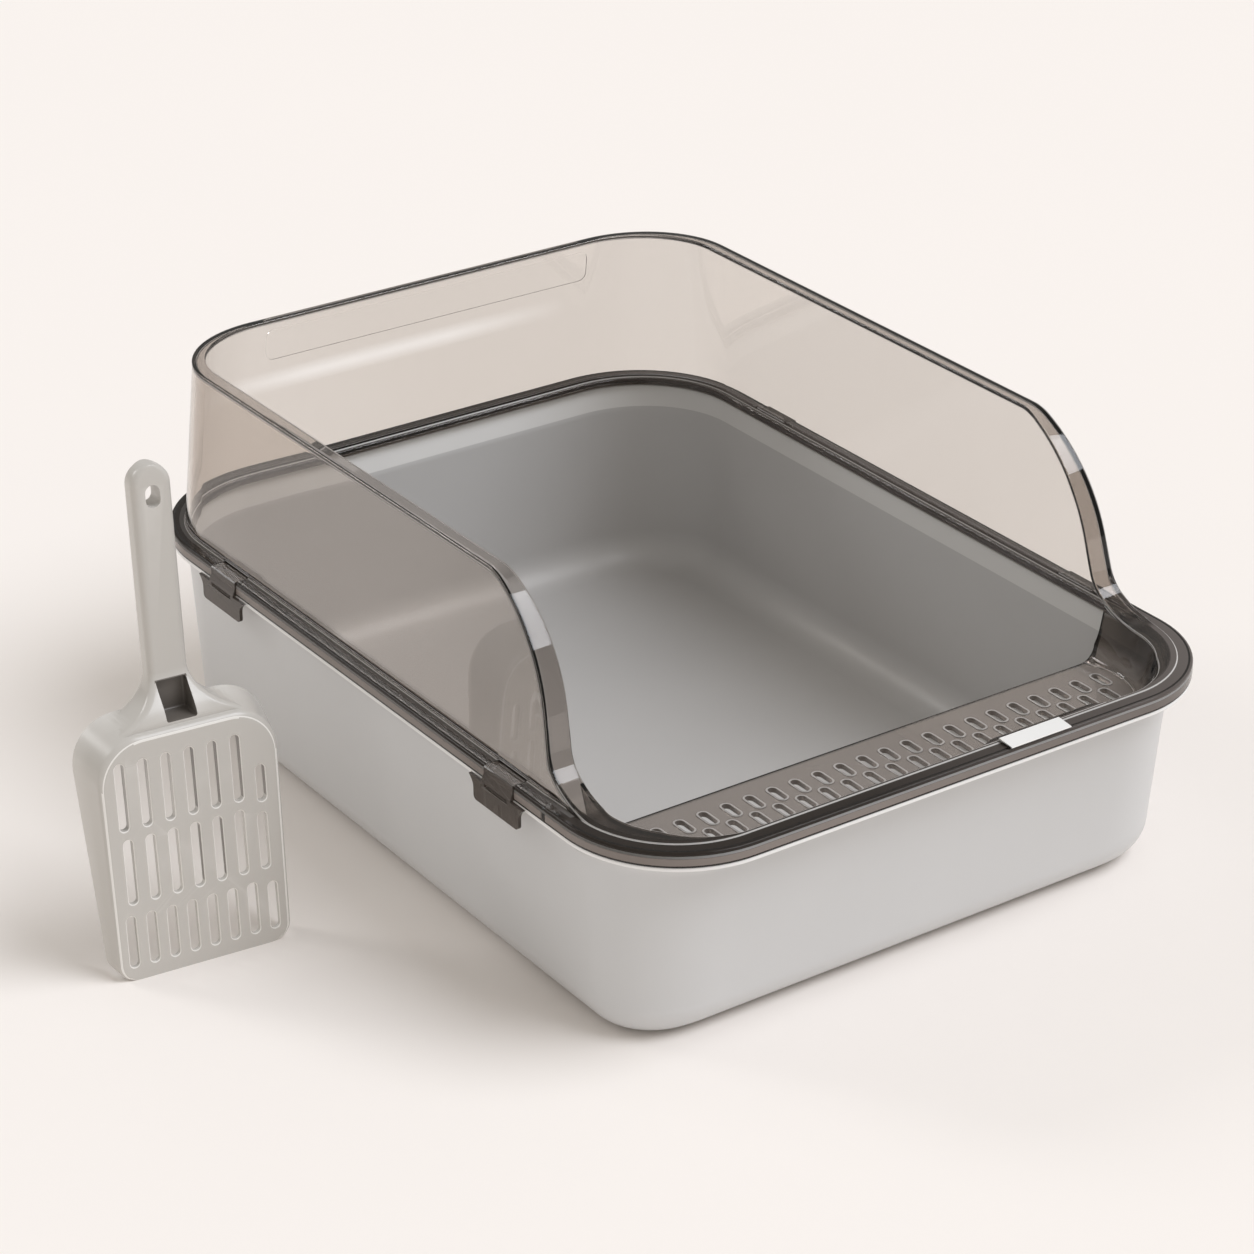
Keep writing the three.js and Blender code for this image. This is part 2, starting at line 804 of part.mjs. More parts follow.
function shieldGeometry() {
  const deck = plate(deckOutline(-weldSink), deckThickness).translate(0, 0, deckTop - deckThickness);
  const walls = [collarRing(), wallRing(), cheekStrip(), ridgePad(), deck];
  let shield = joinAll([...walls, ...clipPlaces.flatMap(clipEars)]);
  shield = shield.add(joinAll(raisedRims()));
  shield = cutAll(shield, [...deckHoles(), panelCutter()]);
  const pinReach = knuckleWidth + 2 * (pinLength + pinGap);
  shield = cutAll(shield, clipPlaces.map(clipNotch));
  shield = cutAll(shield, clipPlaces.map((place) => pinBar(pinRadius + pinGap, pinReach, place)));
  shield = cutAll(shield, prongPlaces.map(prongHole));
  return geometryOf(shield);
}

// Clips

// The wide plate, drawn along the side and up, with flared shoulders and rounded foot corners
function clipPlateOutline() {
  const top = clipTopWidth / 2;
  const foot = clipBottomWidth / 2;
  const shoulder = -clipFlareHeight;
  const half = [];
  half.push([top, 0]);
  for (let i = 1; i < filletSteps; i += 1) {
    const share = i / filletSteps;
    half.push([mix(foot, top, (1 - share) ** 2), shoulder * share]);
  }
  half.push([foot, shoulder]);
  for (let i = 0; i <= filletSteps; i += 1) {
    const angle = (Math.PI / 2) * (i / filletSteps);
    half.push([foot - clipCorner * (1 - Math.cos(angle)), clipCorner * (1 - Math.sin(angle)) - clipDrop]);
  }
  return [...half, ...half.map(([a, b]) => [-a, b]).reverse()];
}

// The knuckle's section, by inset from the collar's face and height under its top
function knuckleOutline() {
  const inner = knuckleDepth - knuckleProud;
  const skirtGap = skirtHeight + fitGap;
  const plateBack = -clipStandOff;
  const boss = Array.from({ length: filletSteps + 1 }, (unused, i) => {
    const angle = (Math.PI / 2) * (i / filletSteps);
    return [
      axisInset + knuckleBossRadius * Math.cos(angle),
      -axisDrop - knuckleBossRadius * Math.sin(angle),
    ];
  });
  return [
    [-knuckleProud, -skirtGap / 2],
    [-knuckleProud, -knuckleChamfer],
    [knuckleChamfer - knuckleProud, 0],
    [inner - knuckleChamfer, 0],
    [inner, -knuckleChamfer],
    [inner, -axisDrop],
    ...boss,
    [axisInset - knuckleBossRadius / 2, -axisDrop - knuckleBossRadius],
    [plateBack + knuckleProud, -skirtGap + clipStandOff],
    [plateBack, -skirtGap],
    [plateBack, -skirtGap - slotHeight - clipPlateThickness],
    [plateBack - clipPlateThickness, -skirtGap - slotHeight - clipPlateThickness],
    [plateBack - clipPlateThickness, -skirtGap],
  ];
}

function clipGeometry({ side, y }) {
  const plateTop = collarTop - skirtHeight - fitGap;
  const wide = plate(clipPlateOutline(), clipPlateThickness)
    .rotateX(Math.PI / 2)
    .rotateZ(Math.PI / 2)
    .translate(clipStandOff, 0, plateTop);
  const knuckle = plate(knuckleOutline(), knuckleWidth)
    .rotateX(Math.PI / 2)
    .translate(0, knuckleWidth / 2, collarTop)
    .scale(-1, -1, 1);
  const pins = new THREE.CylinderGeometry(pinRadius, pinRadius, knuckleWidth + 2 * pinLength, pinSides)
    .translate(-axisInset, 0, axisHeight);
  const catchTop = rimUnderside - 1.5 * fitGap - rimUnderRise;
  const catchLedge = block(
    catchReach + weldSink,
    catchWidth,
    catchThickness,
    clipStandOff + weldSink - (catchReach + weldSink) / 2,
    0,
    catchTop - catchThickness / 2,
  );
  const slot = block(
    2 * cutOverrun,
    slotLength,
    slotHeight,
    clipStandOff + cutOverrun / 2,
    0,
    plateTop - slotHeight / 2,
  );
  const solid = cutAll(joinAll([wide, knuckle, pins, catchLedge]), [slot]);
  const geometry = geometryOf(solid);
  const toSide = collarWidth / 2;
  return side > 0 ? geometry.translate(toSide, y, 0) : geometry.rotateZ(Math.PI).translate(-toSide, y, 0);
}

// Front tab

const tabFront = -collarDepth / 2 - tabOverhang;
const prongPlaces = [-1, 1].map((end) => ({
  x: tabCentre + (end * prongSpacing) / 2,
  y: prongInset - collarDepth / 2,
}));

function prongHole({ x, y }) {
  const height = collarPlate + 2 * cutOverrun;
  return block(
    prongLength + 2 * fitGap,
    prongWidth + prongBarb + 2 * fitGap,
    height,
    x,
    y + prongBarb / 2,
    collarTop - collarPlate / 2,
  );
}

function prong({ x, y }) {
  const foot = -prongDrop;
  const barbTop = -collarPlate - fitGap;
  const half = prongWidth / 2;
  const outline = [
    [-half, beadHeight + fitGap + weldSink],
    [-half, foot],
    [half, foot],
    [half + prongBarb, mix(foot, barbTop, 0.5)],
    [half + prongBarb, barbTop],
    [half, barbTop],
    [half, beadHeight + fitGap + weldSink],
  ];
  return plate(outline, prongLength)
    .rotateX(Math.PI / 2)
    .rotateZ(Math.PI / 2)
    .translate(x - prongLength / 2, y, collarTop);
}

function tabGeometry() {
  const seat = beadTop + fitGap;
  const back = tabFront + tabDepth;
  const outline = [
    [tabFront, seat],
    [tabFront, seat + tabThickness - tabFall - tabCorner],
    [tabFront + tabCorner, seat + tabThickness - tabFall],
    [back - tabCorner, seat + tabThickness],
    [back, seat + tabThickness - tabCorner],
    [back, seat],
  ];
  const cover = plate(outline, tabLength)
    .rotateX(Math.PI / 2)
    .rotateZ(Math.PI / 2)
    .translate(tabCentre - tabLength / 2, 0, 0);
  return geometryOf(joinAll([cover, ...prongPlaces.map(prong)]));
}

// Scoop

// Half outline of the blade from the middle of its mouth to the middle of its top, then mirrored
function bladeRing(grow, depthShare, mouthDrop) {
  const half = [];
  const widthAt = (rise) => mix(bladeBottomWidth, bladeTopWidth, rise / bladeHeight) / 2;
  const corner = (radius, centreRise, start) => {
    const centre = widthAt(centreRise) - radius;
    for (let i = 0; i <= bladeCornerSteps; i += 1) {
      const angle = start + (Math.PI / 2) * (i / bladeCornerSteps);
      half.push([centre + radius * Math.cos(angle), centreRise + radius * Math.sin(angle)]);
    }
  };
  corner(bladeBottomRadius, bladeBottomRadius, -Math.PI / 2);
  corner(bladeTopRadius, bladeHeight - bladeTopRadius, 0);
  const whole = [...half, ...half.map(([a, b]) => [-a, b]).reverse()];
  const middle = bladeHeight / 2;
  return whole.map(([across, rise]) => {
    const level = rise / bladeHeight;
    const deep = mix(basketMouthDepth, basketTopDepth, level);
    const flare = mix(basketMouthFlare, basketTopFlare, level) * depthShare;
    const spread = (widthAt(rise) + flare + grow) / widthAt(rise);
    const lift = rise < middle ? -mouthDrop : grow + (flare * rise) / bladeHeight;
    const depth = deep * depthShare;
    const floorRise = rise < middle ? depth * Math.tan(radians(scoopLean)) : 0;
    return new THREE.Vector3(across * spread, depth, rise + lift + floorRise);
  });
}

function bladeShell() {
  const edgeShare = bladeEdgeRound / basketTopDepth;
  const outer = loft([
    bladeRing(-bladeEdgeRound, 0, 0),
    bladeRing(-bladeEdgeRound * 0.3, edgeShare * 0.3, 0),
    bladeRing(0, edgeShare, 0),
    bladeRing(0, 1, 0),
  ]);
  const faceShare = bladeWall / basketMouthDepth;
  const reach = (basketTopDepth + cutOverrun) / basketTopDepth;
  const hollow = loft([
    bladeRing(-bladeWall - bladeEdgeRound / 2, faceShare, bladeBottomRadius),
    bladeRing(-bladeWall, 2 * faceShare, bladeBottomRadius),
    bladeRing(-bladeWall, reach, bladeBottomRadius),
  ]);
  return { outer, hollow };
}

// A rounded box section of the neck or handle at one height
function handleRing(rise, halfWidth, front, back) {
  const round = Math.min(handleCorner, halfWidth * 0.6, (back - front) * 0.4);
  const perCorner = handleSideSteps / 4;
  const corners = [
    [halfWidth - round, back - round],
    [round - halfWidth, back - round],
    [round - halfWidth, front + round],
    [halfWidth - round, front + round],
  ];
  return corners.flatMap(([x, y], k) => Array.from({ length: perCorner }, (unused, i) => {
    const angle = (Math.PI / 2) * (k + i / (perCorner - 1));
    return new THREE.Vector3(x + round * Math.cos(angle), y + round * Math.sin(angle), rise);
  }));
}

function handleBody() {
  const front = handleBack - handleThickness;
  const half = handleWidth / 2;
  const neckBase = bladeHeight - 2 * bladeWall;
  const neckShares = [0, 0.22, 0.4, 0.62, 0.82, 1];
  const flareShares = [1, 0.66, 0.36, 0.13, 0.03, 0];
  const rings = neckShares.map((share, i) => {
    const spread = bladeTopWidth / 2 - bladeTopRadius / 3 - half;
    const forward = mix(neckFront, front, ease(0.2, 1, share));
    const rear = mix(basketTopDepth, handleBack, share);
    return handleRing(mix(neckBase, neckTop, share), half + spread * flareShares[i], forward, rear);
  });
  const domeStart = scoopHeight - half;
  for (let i = 0; i < cornerSteps; i += 1) {
    const angle = (Math.PI / 2) * (i / cornerSteps);
    const narrow = half * Math.cos(angle);
    rings.push(handleRing(domeStart + half * Math.sin(angle), narrow, front, handleBack));
  }
  return loft(rings);
}

function bladeSlots() {
  return slotRows.flatMap(({ rise, length, pitch, count, lastLength, lastDrop }) => {
    return Array.from({ length: count }, (unused, i) => {
      const last = i === count - 1;
      const outline = slotOutline(bladeSlotWidth, last ? lastLength : length, slotEndSteps);
      const depth = 2 * cutOverrun + bladeWall;
      const across = (i - (count - 1) / 2) * pitch;
      return plate(outline, depth)
        .rotateX(Math.PI / 2)
        .translate(across, bladeWall + cutOverrun, rise - (last ? lastDrop : 0));
    });
  });
}

function scoopGeometry() {
  const { outer, hollow } = bladeShell();
  const front = handleBack - handleThickness;
  const pocketTop = neckTop - pocketTopInset;
  const pocketHeight = pocketTop - bladeHeight - bladeWall;
  const pocket = block(
    pocketWidth,
    pocketDepth + cutOverrun,
    pocketHeight,
    0,
    neckFront + pocketDepth / 2 - cutOverrun / 2,
    pocketTop - pocketHeight / 2,
  );
  const hangHole = plate(slotOutline(hangHoleWidth, hangHoleLength, cornerSteps), handleThickness + 2 * cutOverrun)
    .rotateX(Math.PI / 2)
    .translate(0, handleBack + cutOverrun, scoopHeight - hangHoleDrop);
  const channelHeight = scoopHeight - channelTopInset - neckTop - channelBottomInset;
  const channel = block(
    channelWidth,
    channelDepth + cutOverrun,
    channelHeight,
    0,
    front + handleThickness - channelDepth / 2 + cutOverrun / 2,
    neckTop + channelBottomInset + channelHeight / 2,
  );
  const whole = joinAll([outer, handleBody()]);
  return geometryOf(cutAll(whole, [hollow, pocket, hangHole, channel, ...bladeSlots()]));
}

// Materials and assembly

const smokePlastic = new THREE.MeshStandardMaterial({
  color: '#7d7168',
  roughness: 0.12,
  metalness: 0,
  transparent: true,
  opacity: 0.45,
});
const greyPlastic = new THREE.MeshStandardMaterial({ color: '#c3c2c1', roughness: 0.45, metalness: 0 });
const scoopPlastic = new THREE.MeshStandardMaterial({ color: '#bdbab6', roughness: 0.35, metalness: 0 });
const whitePlastic = new THREE.MeshStandardMaterial({ color: '#ecebea', roughness: 0.4, metalness: 0 });

function piece(name, geometry, material) {
  const mesh = new THREE.Mesh(geometry, material);
  mesh.name = name;
  return mesh;
}

const group = new THREE.Group();
group.add(piece('litter_pan', panGeometry(), greyPlastic.clone()));
group.add(piece('surround_shield', shieldGeometry(), smokePlastic.clone()));
for (const place of clipPlaces) {
  group.add(piece(place.name, clipGeometry(place), smokePlastic.clone()));
}
group.add(piece('front_tab', tabGeometry(), whitePlastic.clone()));

const scoop = piece('litter_scoop', scoopGeometry(), scoopPlastic.clone());
scoop.rotation.order = 'ZXY';
scoop.rotation.set(-radians(scoopLean), 0, radians(scoopYaw));
scoop.position.set(-collarWidth / 2 - scoopGap - bladeTopWidth / 2, -scoopForward, 0);
group.add(scoop);

export default group;
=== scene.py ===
import math
from functools import partial
import bpy
import bmesh
from mathutils import Matrix, Vector


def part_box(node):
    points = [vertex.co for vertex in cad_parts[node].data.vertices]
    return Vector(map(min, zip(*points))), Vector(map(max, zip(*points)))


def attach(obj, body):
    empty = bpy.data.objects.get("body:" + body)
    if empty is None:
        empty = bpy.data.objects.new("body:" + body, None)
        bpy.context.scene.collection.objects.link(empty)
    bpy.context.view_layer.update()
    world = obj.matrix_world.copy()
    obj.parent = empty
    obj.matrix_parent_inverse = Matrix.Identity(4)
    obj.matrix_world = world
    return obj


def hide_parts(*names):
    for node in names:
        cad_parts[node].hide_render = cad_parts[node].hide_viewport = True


# Semi-enclosed litter box with its scoop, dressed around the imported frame.
# Sizes are in millimetres and become metres where a mesh is made.

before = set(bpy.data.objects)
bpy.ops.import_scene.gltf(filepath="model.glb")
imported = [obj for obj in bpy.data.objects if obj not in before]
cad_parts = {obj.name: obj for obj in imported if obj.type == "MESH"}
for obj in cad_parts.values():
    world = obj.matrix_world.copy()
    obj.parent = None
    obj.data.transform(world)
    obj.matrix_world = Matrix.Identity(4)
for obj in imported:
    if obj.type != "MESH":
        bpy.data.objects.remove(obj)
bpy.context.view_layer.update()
mm = 0.001
past = 3  # how far a cutter reaches beyond what it cuts
print("frame loaded with", len(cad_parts), "nodes")

lowCollar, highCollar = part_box("surround_shield")

outline = dict(
    width=370.7,
    depth=(highCollar[1] - lowCollar[1]) / mm,
    frontRadius=63.5,
    backRadius=74,
    cornerSteps=22,
    gap=0.3,
)


# Small helpers for meshes

def mix(a, b, share):
    return a + (b - a) * share


def ease(low, high, value):
    share = min(max((value - low) / (high - low), 0), 1)
    return share * share * (3 - 2 * share)


def spread(steps):
    return [i / steps for i in range(steps + 1)]


# Cosines and sines along a quarter turn
def quarter(steps):
    return [(math.cos(math.pi / 2 * share), math.sin(math.pi / 2 * share)) for share in spread(steps)]


# Points on an arc that starts at one angle and goes on through a turn
def arcPoints(a, b, radius, start, turn, steps):
    angles = [start + turn * share for share in spread(steps)]
    return [(a + radius * math.cos(angle), b + radius * math.sin(angle)) for angle in angles]


def addObject(name, data):
    thing = bpy.data.objects.new(name, data)
    bpy.context.scene.collection.objects.link(thing)
    return thing


def newObject(name, points, faces):
    mesh = bpy.data.meshes.new(name)
    mesh.from_pydata([[value * mm for value in point] for point in points], [], faces)
    work = bmesh.new()
    work.from_mesh(mesh)
    bmesh.ops.remove_doubles(work, verts=work.verts, dist=0.001 * mm)
    bmesh.ops.recalc_face_normals(work, faces=work.faces)
    if work.calc_volume(signed=True) < 0:
        bmesh.ops.reverse_faces(work, faces=work.faces)
    work.to_mesh(mesh)
    work.free()
    return addObject(name, mesh)


# A closed solid through rings of equal count, its ends capped or its last ring joined to its first
def loft(name, rings, joined=False):
    count = len(rings[0])
    points = [point for ring in rings for point in ring]
    faces = []
    for k in range(len(rings) if joined else len(rings) - 1):
        low = k * count
        high = (k + 1) % len(rings) * count
        for i in range(count):
            j = (i + 1) % count
            faces.append((low + i, low + j, high + j, high + i))
    if not joined:
        faces.append(tuple(range(count)))
        faces.append(tuple(range(len(points) - count, len(points))))
    return newObject(name, points, faces)


# Corners of a section as (across, up, trim): each trimmed corner becomes a soft curve, which takes at most
# a share of either side
def softened(corners, steps, most=0.48):
    result = []
    for i, (a, b, trim) in enumerate(corners):
        if not trim:
            result.append((a, b))
            continue
        here = Vector((a, b))
        before = Vector(corners[i - 1][:2]) - here
        after = Vector(corners[(i + 1) % len(corners)][:2]) - here
        start = here + before.normalized() * min(trim, before.length * most)
        end = here + after.normalized() * min(trim, after.length * most)
        for share in spread(steps):
            point = start * (1 - share) ** 2 + here * 2 * share * (1 - share) + end * share ** 2
            result.append((point.x, point.y))
    return result


def block(name, size, centre):
    points = [
        [centre[k] + size[k] / 2 * (1 if corner >> k & 1 else -1) for k in range(3)]
        for corner in range(8)
    ]
    faces = [(0, 1, 3, 2), (4, 6, 7, 5), (0, 4, 5, 1), (2, 3, 7, 6), (0, 2, 6, 4), (1, 5, 7, 3)]
    return newObject(name, points, faces)


# A flat outline in the plane of two axes, carried along the third
def prism(name, flat, low, high, axes=(0, 1, 2)):
    rings = []
    for level in (low, high):
        ring = []
        for a, b in flat:
            point = [0, 0, 0]
            point[axes[0]], point[axes[1]], point[axes[2]] = a, b, level
            ring.append(point)
        rings.append(ring)
    return loft(name, rings)


# Replaces a piece's mesh with what its modifiers make of it
def settle(piece):
    graph = bpy.context.evaluated_depsgraph_get()
    graph.update()
    mesh = bpy.data.meshes.new_from_object(piece.evaluated_get(graph), depsgraph=graph)
    piece.modifiers.clear()
    piece.data = mesh
    return piece


# Turns a piece about the origin, then moves it by millimetres
def moveBy(piece, spot, turn=Matrix()):
    piece.data.transform(Matrix.Translation([value * mm for value in spot]) @ turn)


def combine(piece, others, operation):
    for other in others:
        cut = piece.modifiers.new(other.name, "BOOLEAN")
        cut.operation = operation
        cut.solver = "MANIFOLD"
        cut.object = other
        settle(piece)
        bpy.data.objects.remove(other)
    return piece


# Merges what the booleans left and sets smooth shading that breaks at real edges
def smooth(piece, angle=32, tidy=0.004):
    work = bmesh.new()
    work.from_mesh(piece.data)
    bmesh.ops.remove_doubles(work, verts=work.verts, dist=tidy * mm)
    bmesh.ops.dissolve_degenerate(work, edges=work.edges, dist=tidy * mm)
    work.to_mesh(piece.data)
    work.free()
    piece.data.shade_smooth()
    piece.data.set_sharp_from_angle(angle=math.radians(angle))
    weight = piece.modifiers.new("evenNormals", "WEIGHTED_NORMAL")
    weight.keep_sharp = True
    weight.weight = 50
    return settle(piece)


# Puts a finished piece on its body; the faces keep which of the materials they have
def dress(piece, body, slot, materials, *nodes):
    last = len(materials) - 1
    picks = [min(face.material_index, last) for face in piece.data.polygons]
    piece.data.materials.clear()
    for material in materials:
        piece.data.materials.append(material)
    piece.data.polygons.foreach_set("material_index", picks)
    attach(piece, body)
    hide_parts(*nodes)
    print("made", piece.name, "with", len(piece.data.polygons), "faces")


# Outline that the collar and the pan's rim share, walked from the middle of the front

frontFlat = outline["width"] / 2 - outline["frontRadius"]
frontArc = outline["frontRadius"] * math.pi / 2
sideFlat = outline["depth"] - outline["frontRadius"] - outline["backRadius"]
backArc = outline["backRadius"] * math.pi / 2
sideStart = frontFlat + frontArc
sideEnd = sideStart + sideFlat
backStart = sideEnd + backArc
halfLength = backStart + outline["width"] / 2 - outline["backRadius"]


def outlineAt(distance):
    halfWidth = outline["width"] / 2
    halfDepth = outline["depth"] / 2
    front = outline["frontRadius"]
    back = outline["backRadius"]
    if distance <= frontFlat:
        return distance, -halfDepth, 0, 1
    if distance < sideStart:
        angle = (distance - frontFlat) / front
        c, s = math.cos(angle), math.sin(angle)
        return frontFlat + front * s, front - halfDepth - front * c, -s, c
    if distance <= sideEnd:
        return halfWidth, front - halfDepth + distance - sideStart, -1, 0
    if distance < backStart:
        angle = (distance - sideEnd) / back
        c, s = math.cos(angle), math.sin(angle)
        return halfWidth - back + back * c, halfDepth - back + back * s, -c, -s
    return halfLength - distance, halfDepth, 0, -1


class Station:
    def __init__(self, distance, side):
        x, y, nx, ny = outlineAt(distance)
        self.distance = distance
        self.x, self.y, self.nx, self.ny = side * x, y, side * nx, ny

    def inboard(self, inset, height, setBack=0):
        return (self.x + self.nx * inset, self.y + self.ny * inset + setBack, height)

    # A size with one value at the front, one at the sides and one at the back
    def around(self, front, side, back):
        return mix(side, front if self.ny > 0 else back, self.ny * self.ny)


def roundStations(distances):
    right = [Station(distance, 1) for distance in distances]
    left = [Station(distance, -1) for distance in distances[-2:0:-1]]
    return right + left


# A solid whose section may change from station to station along the outline
def carry(name, section, stations, joined=False):
    return loft(name, [[place.inboard(*point) for point in section(place)] for place in stations], joined)


cornerShares = spread(outline["cornerSteps"])
plainDistances = [
    0,
    *[frontFlat + frontArc * share for share in cornerShares],
    *[sideEnd + backArc * share for share in cornerShares],
    halfLength,
]


# Pan: drafted walls, a deep round to the floor, a cove under the rim and an upstand inside it

pan = dict(
    rimInset=0.3,
    rimUnderside=108.2,
    rimUnderlap=2.2,
    rimUnderRise=0.6,
    collarFoot=110.5,
    upstandInsets=(5.6, 8.9),
    upstandTops=(114.7, 115.7),
    upstandThickness=2.7,
    wall=3,
    floor=3,
    topInsets=(17.3, 8.2, 14),
    drafts=(11.7, 5.6, 6),
    coves=(14, 11, 14),
    flareInsets=(20.3, 13, 17.5),
    flareFeet=(98.4, 99.5, 100.4),
    bottomRadius=21,
    innerRadius=20,
    roundSteps=14,
    edge=0.7,
    upstandRound=1.4,
    flareRound=3,
    softSteps=5,
    leastFacing=0.05,
)


def makePan():
    size = pan
    coveFoot = lambda place: size["rimUnderside"] - place.around(*size["coves"])
    topInset = lambda place: place.around(*size["topInsets"])

    def outerInset(place, height):
        return topInset(place) + place.around(*size["drafts"]) * (1 - height / coveFoot(place))

    def section(place):
        turn = quarter(size["roundSteps"])
        bottom = size["bottomRadius"]
        points = [(outerInset(place, bottom) + bottom * (1 - s), bottom * (1 - c)) for c, s in turn]
        lip = size["rimInset"] + size["rimUnderlap"]
        deep = place.around(*size["coves"]) - size["rimUnderRise"]
        points += [
            (topInset(place) - (topInset(place) - lip) * (1 - c), coveFoot(place) + deep * s)
            for c, s in turn
        ]
        frontInset, sideInset = size["upstandInsets"]
        frontTop, sideTop = size["upstandTops"]
        upstand = place.around(frontInset, sideInset, sideInset)
        top = place.around(frontTop, sideTop, sideTop)
        ledge = size["collarFoot"] - outline["gap"]
        innerTop = upstand + size["upstandThickness"]
        inner = size["innerRadius"]
        innerFoot = size["floor"] + inner
        foot = outerInset(place, innerFoot) + size["wall"]
        edge = size["edge"]
        rim = softened([
            (*points[-1], 0),
            (size["rimInset"], size["rimUnderside"], edge),
            (size["rimInset"], ledge, edge),
            (upstand, ledge, edge),
            (upstand, top, edge * size["upstandRound"]),
            (innerTop, top, edge * size["upstandRound"]),
            (innerTop, top - size["upstandThickness"] / 2, edge),
            (place.around(*size["flareInsets"]), place.around(*size["flareFeet"]), edge * size["flareRound"]),
            (foot, innerFoot, 0),
        ], size["softSteps"])
        inside = [(foot + inner * (1 - c), size["floor"] + inner * (1 - s)) for c, s in turn]
        return points + rim[1:-1] + inside

    stations = roundStations(plainDistances)
    sections = [section(place) for place in stations]
    rings = [
        [place.inboard(*points[k]) for place, points in zip(stations, sections)]
        for k in range(len(sections[0]))
    ]
    body = smooth(loft("panBody", rings), 40)
    # Faces that look into the pan, and its floor, take the second material, a darker copy of the grey:
    # painted shade inside
    for face in body.data.polygons:
        x, y, z = face.center / mm
        place = Station(unroll(x, y)[0], 1 if x > 0 else -1)
        inward = face.normal.x * place.nx + face.normal.y * place.ny > size["leastFacing"]
        onFloor = face.normal.z > 0.5 and z < size["floor"] + size["innerRadius"]
        face.material_index = int(inward or onFloor)
    return body


# Shield: collar, wall with a turned-in lip, cheeks and the perforated step, as one clear moulding

collar = dict(
    top=118.5,
    skirtHeight=8,
    skirtThickness=2.2,
    plate=2.5,
    edgeRound=1.4,
    dripThickness=1.3,
    dripInsets=(9.5, 12.9, 14.9),
    dripRun=0.6,
    dripHeight=4.2,
    dripFade=3,
    dripRound=0.64,
    ridgeRun=4,
    smallRound=0.4,
)

pad = dict(start=19, end=104, turn=12, reach=4.2, slopeRun=1.3, lift=0.3, round=1.2, steps=10)

panel = dict(centre=4.5, middle=196.7, length=213, height=18.5, corner=5.5, recess=0.12)

wall = dict(
    crest=213,
    thickness=2.2,
    insets=(8.3, 8, 10),
    drafts=(0, 7.7, 10.1),
    lipThickness=2.2,
    lipRound=0.9,
    lipFront=1.4,
    lipBack=5,
    lipSide=8.5,
    lipWing=13.5,
    lipCorner=10.2,
    lipTurn=5,
    bead=0.5,
    lipDepths=((1, 0.45), (1.6, 0.6), (1.9, 0.65)),  # shares of the lip's thickness, at most of the height
    foot=0.3,
    footFillet=1.1,
    fullFillet=20,
    lipFillet=1.6,
    leastFillet=0.02,
    filletShare=0.15,
    edgeShare=0.3,
    insideEdge=0.7,
    footShare=0.2,
    wallLoops=(0.04, 0.35, 0.7),
)

crestPath = dict(
    start=152,
    shoulderRadius=27,
    shoulderTurn=27,
    breastRadius=84,
    steep=75,
    toeRadius=20,
    toeAngle=30,
    tailRadius=60,
    turnSteps=8,
    breastSteps=22,
    straightSteps=6,
    toeSteps=10,
)

step = dict(
    deckTop=95,
    deckThickness=2.2,
    reach=82,
    creaseSide=28,
    creaseFront=25,
    kneeFront=22.6,
    kneeHeight=11,
    kneeShare=0.55,
    cheekThickness=1.8,
    creaseRadius=3,
    endRadius=9,
    creaseSteps=8,
    kneeRound=7,
    weld=0.3,
)

beadTop = collar["top"] + wall["bead"]
cheekEnd = sideStart + step["reach"] - outline["frontRadius"]


# The crest from the shoulder down to the bead, as (distance, height, slope)
def crestSweep():
    size = crestPath
    points = [(0, 0, 0)]

    def arc(radius, start, end, steps):
        run, drop, _ = points[-1]
        bend = radius if end > start else -radius
        for share in spread(steps)[1:]:
            slope = math.radians(mix(start, end, share))
            points.append((
                run + bend * (math.sin(slope) - math.sin(math.radians(start))),
                drop - bend * (math.cos(slope) - math.cos(math.radians(start))),
                slope,
            ))

    arc(size["shoulderRadius"], 0, size["shoulderTurn"], size["turnSteps"])
    arc(size["breastRadius"], size["shoulderTurn"], size["steep"], size["breastSteps"])
    steep = math.radians(size["steep"])
    toe = math.radians(size["toeAngle"])
    toeDrop = size["toeRadius"] * (math.cos(toe) - math.cos(steep))
    tailDrop = size["tailRadius"] * (1 - math.cos(toe))
    run, drop, _ = points[-1]
    straight = wall["crest"] - beadTop - drop - toeDrop - tailDrop
    for share in spread(size["straightSteps"])[1:]:
        points.append((run + straight * share / math.tan(steep), drop + straight * share, steep))
    arc(size["toeRadius"], size["steep"], size["toeAngle"], size["toeSteps"])
    arc(size["tailRadius"], size["toeAngle"], 0, size["toeSteps"])
    start = sideStart + size["start"] - outline["frontRadius"]
    return [(start - run, wall["crest"] - drop, slope) for run, drop, slope in points]


sweep = crestSweep()


# Straight lines between stops that are sorted by their first value
def between(stops, value):
    if value <= stops[0][0]:
        return stops[0][1:]
    for low, high in zip(stops, stops[1:]):
        if value <= high[0]:
            share = (value - low[0]) / (high[0] - low[0])
            return tuple(mix(a, b, share) for a, b in zip(low[1:], high[1:]))
    return stops[-1][1:]


def crestAt(distance):
    return between(sweep[::-1], distance)


def lipWidthAt(distance):
    stops = [
        (frontFlat, wall["lipFront"]),
        (frontFlat + frontArc / 4, wall["lipTurn"]),
        (frontFlat + frontArc / 2, wall["lipCorner"]),
        (sideStart, wall["lipWing"]),
        (sweep[-1][0] + step["reach"] / 2, wall["lipWing"]),
        (sweep[0][0], wall["lipSide"]),
        (sideEnd, wall["lipSide"]),
        (backStart, wall["lipBack"]),
    ]
    return between(stops, distance)[0]


def wallInset(place, height):
    rise = max(height - collar["top"], 0) / (wall["crest"] - collar["top"])
    return place.around(*wall["insets"]) + place.around(*wall["drafts"]) * rise


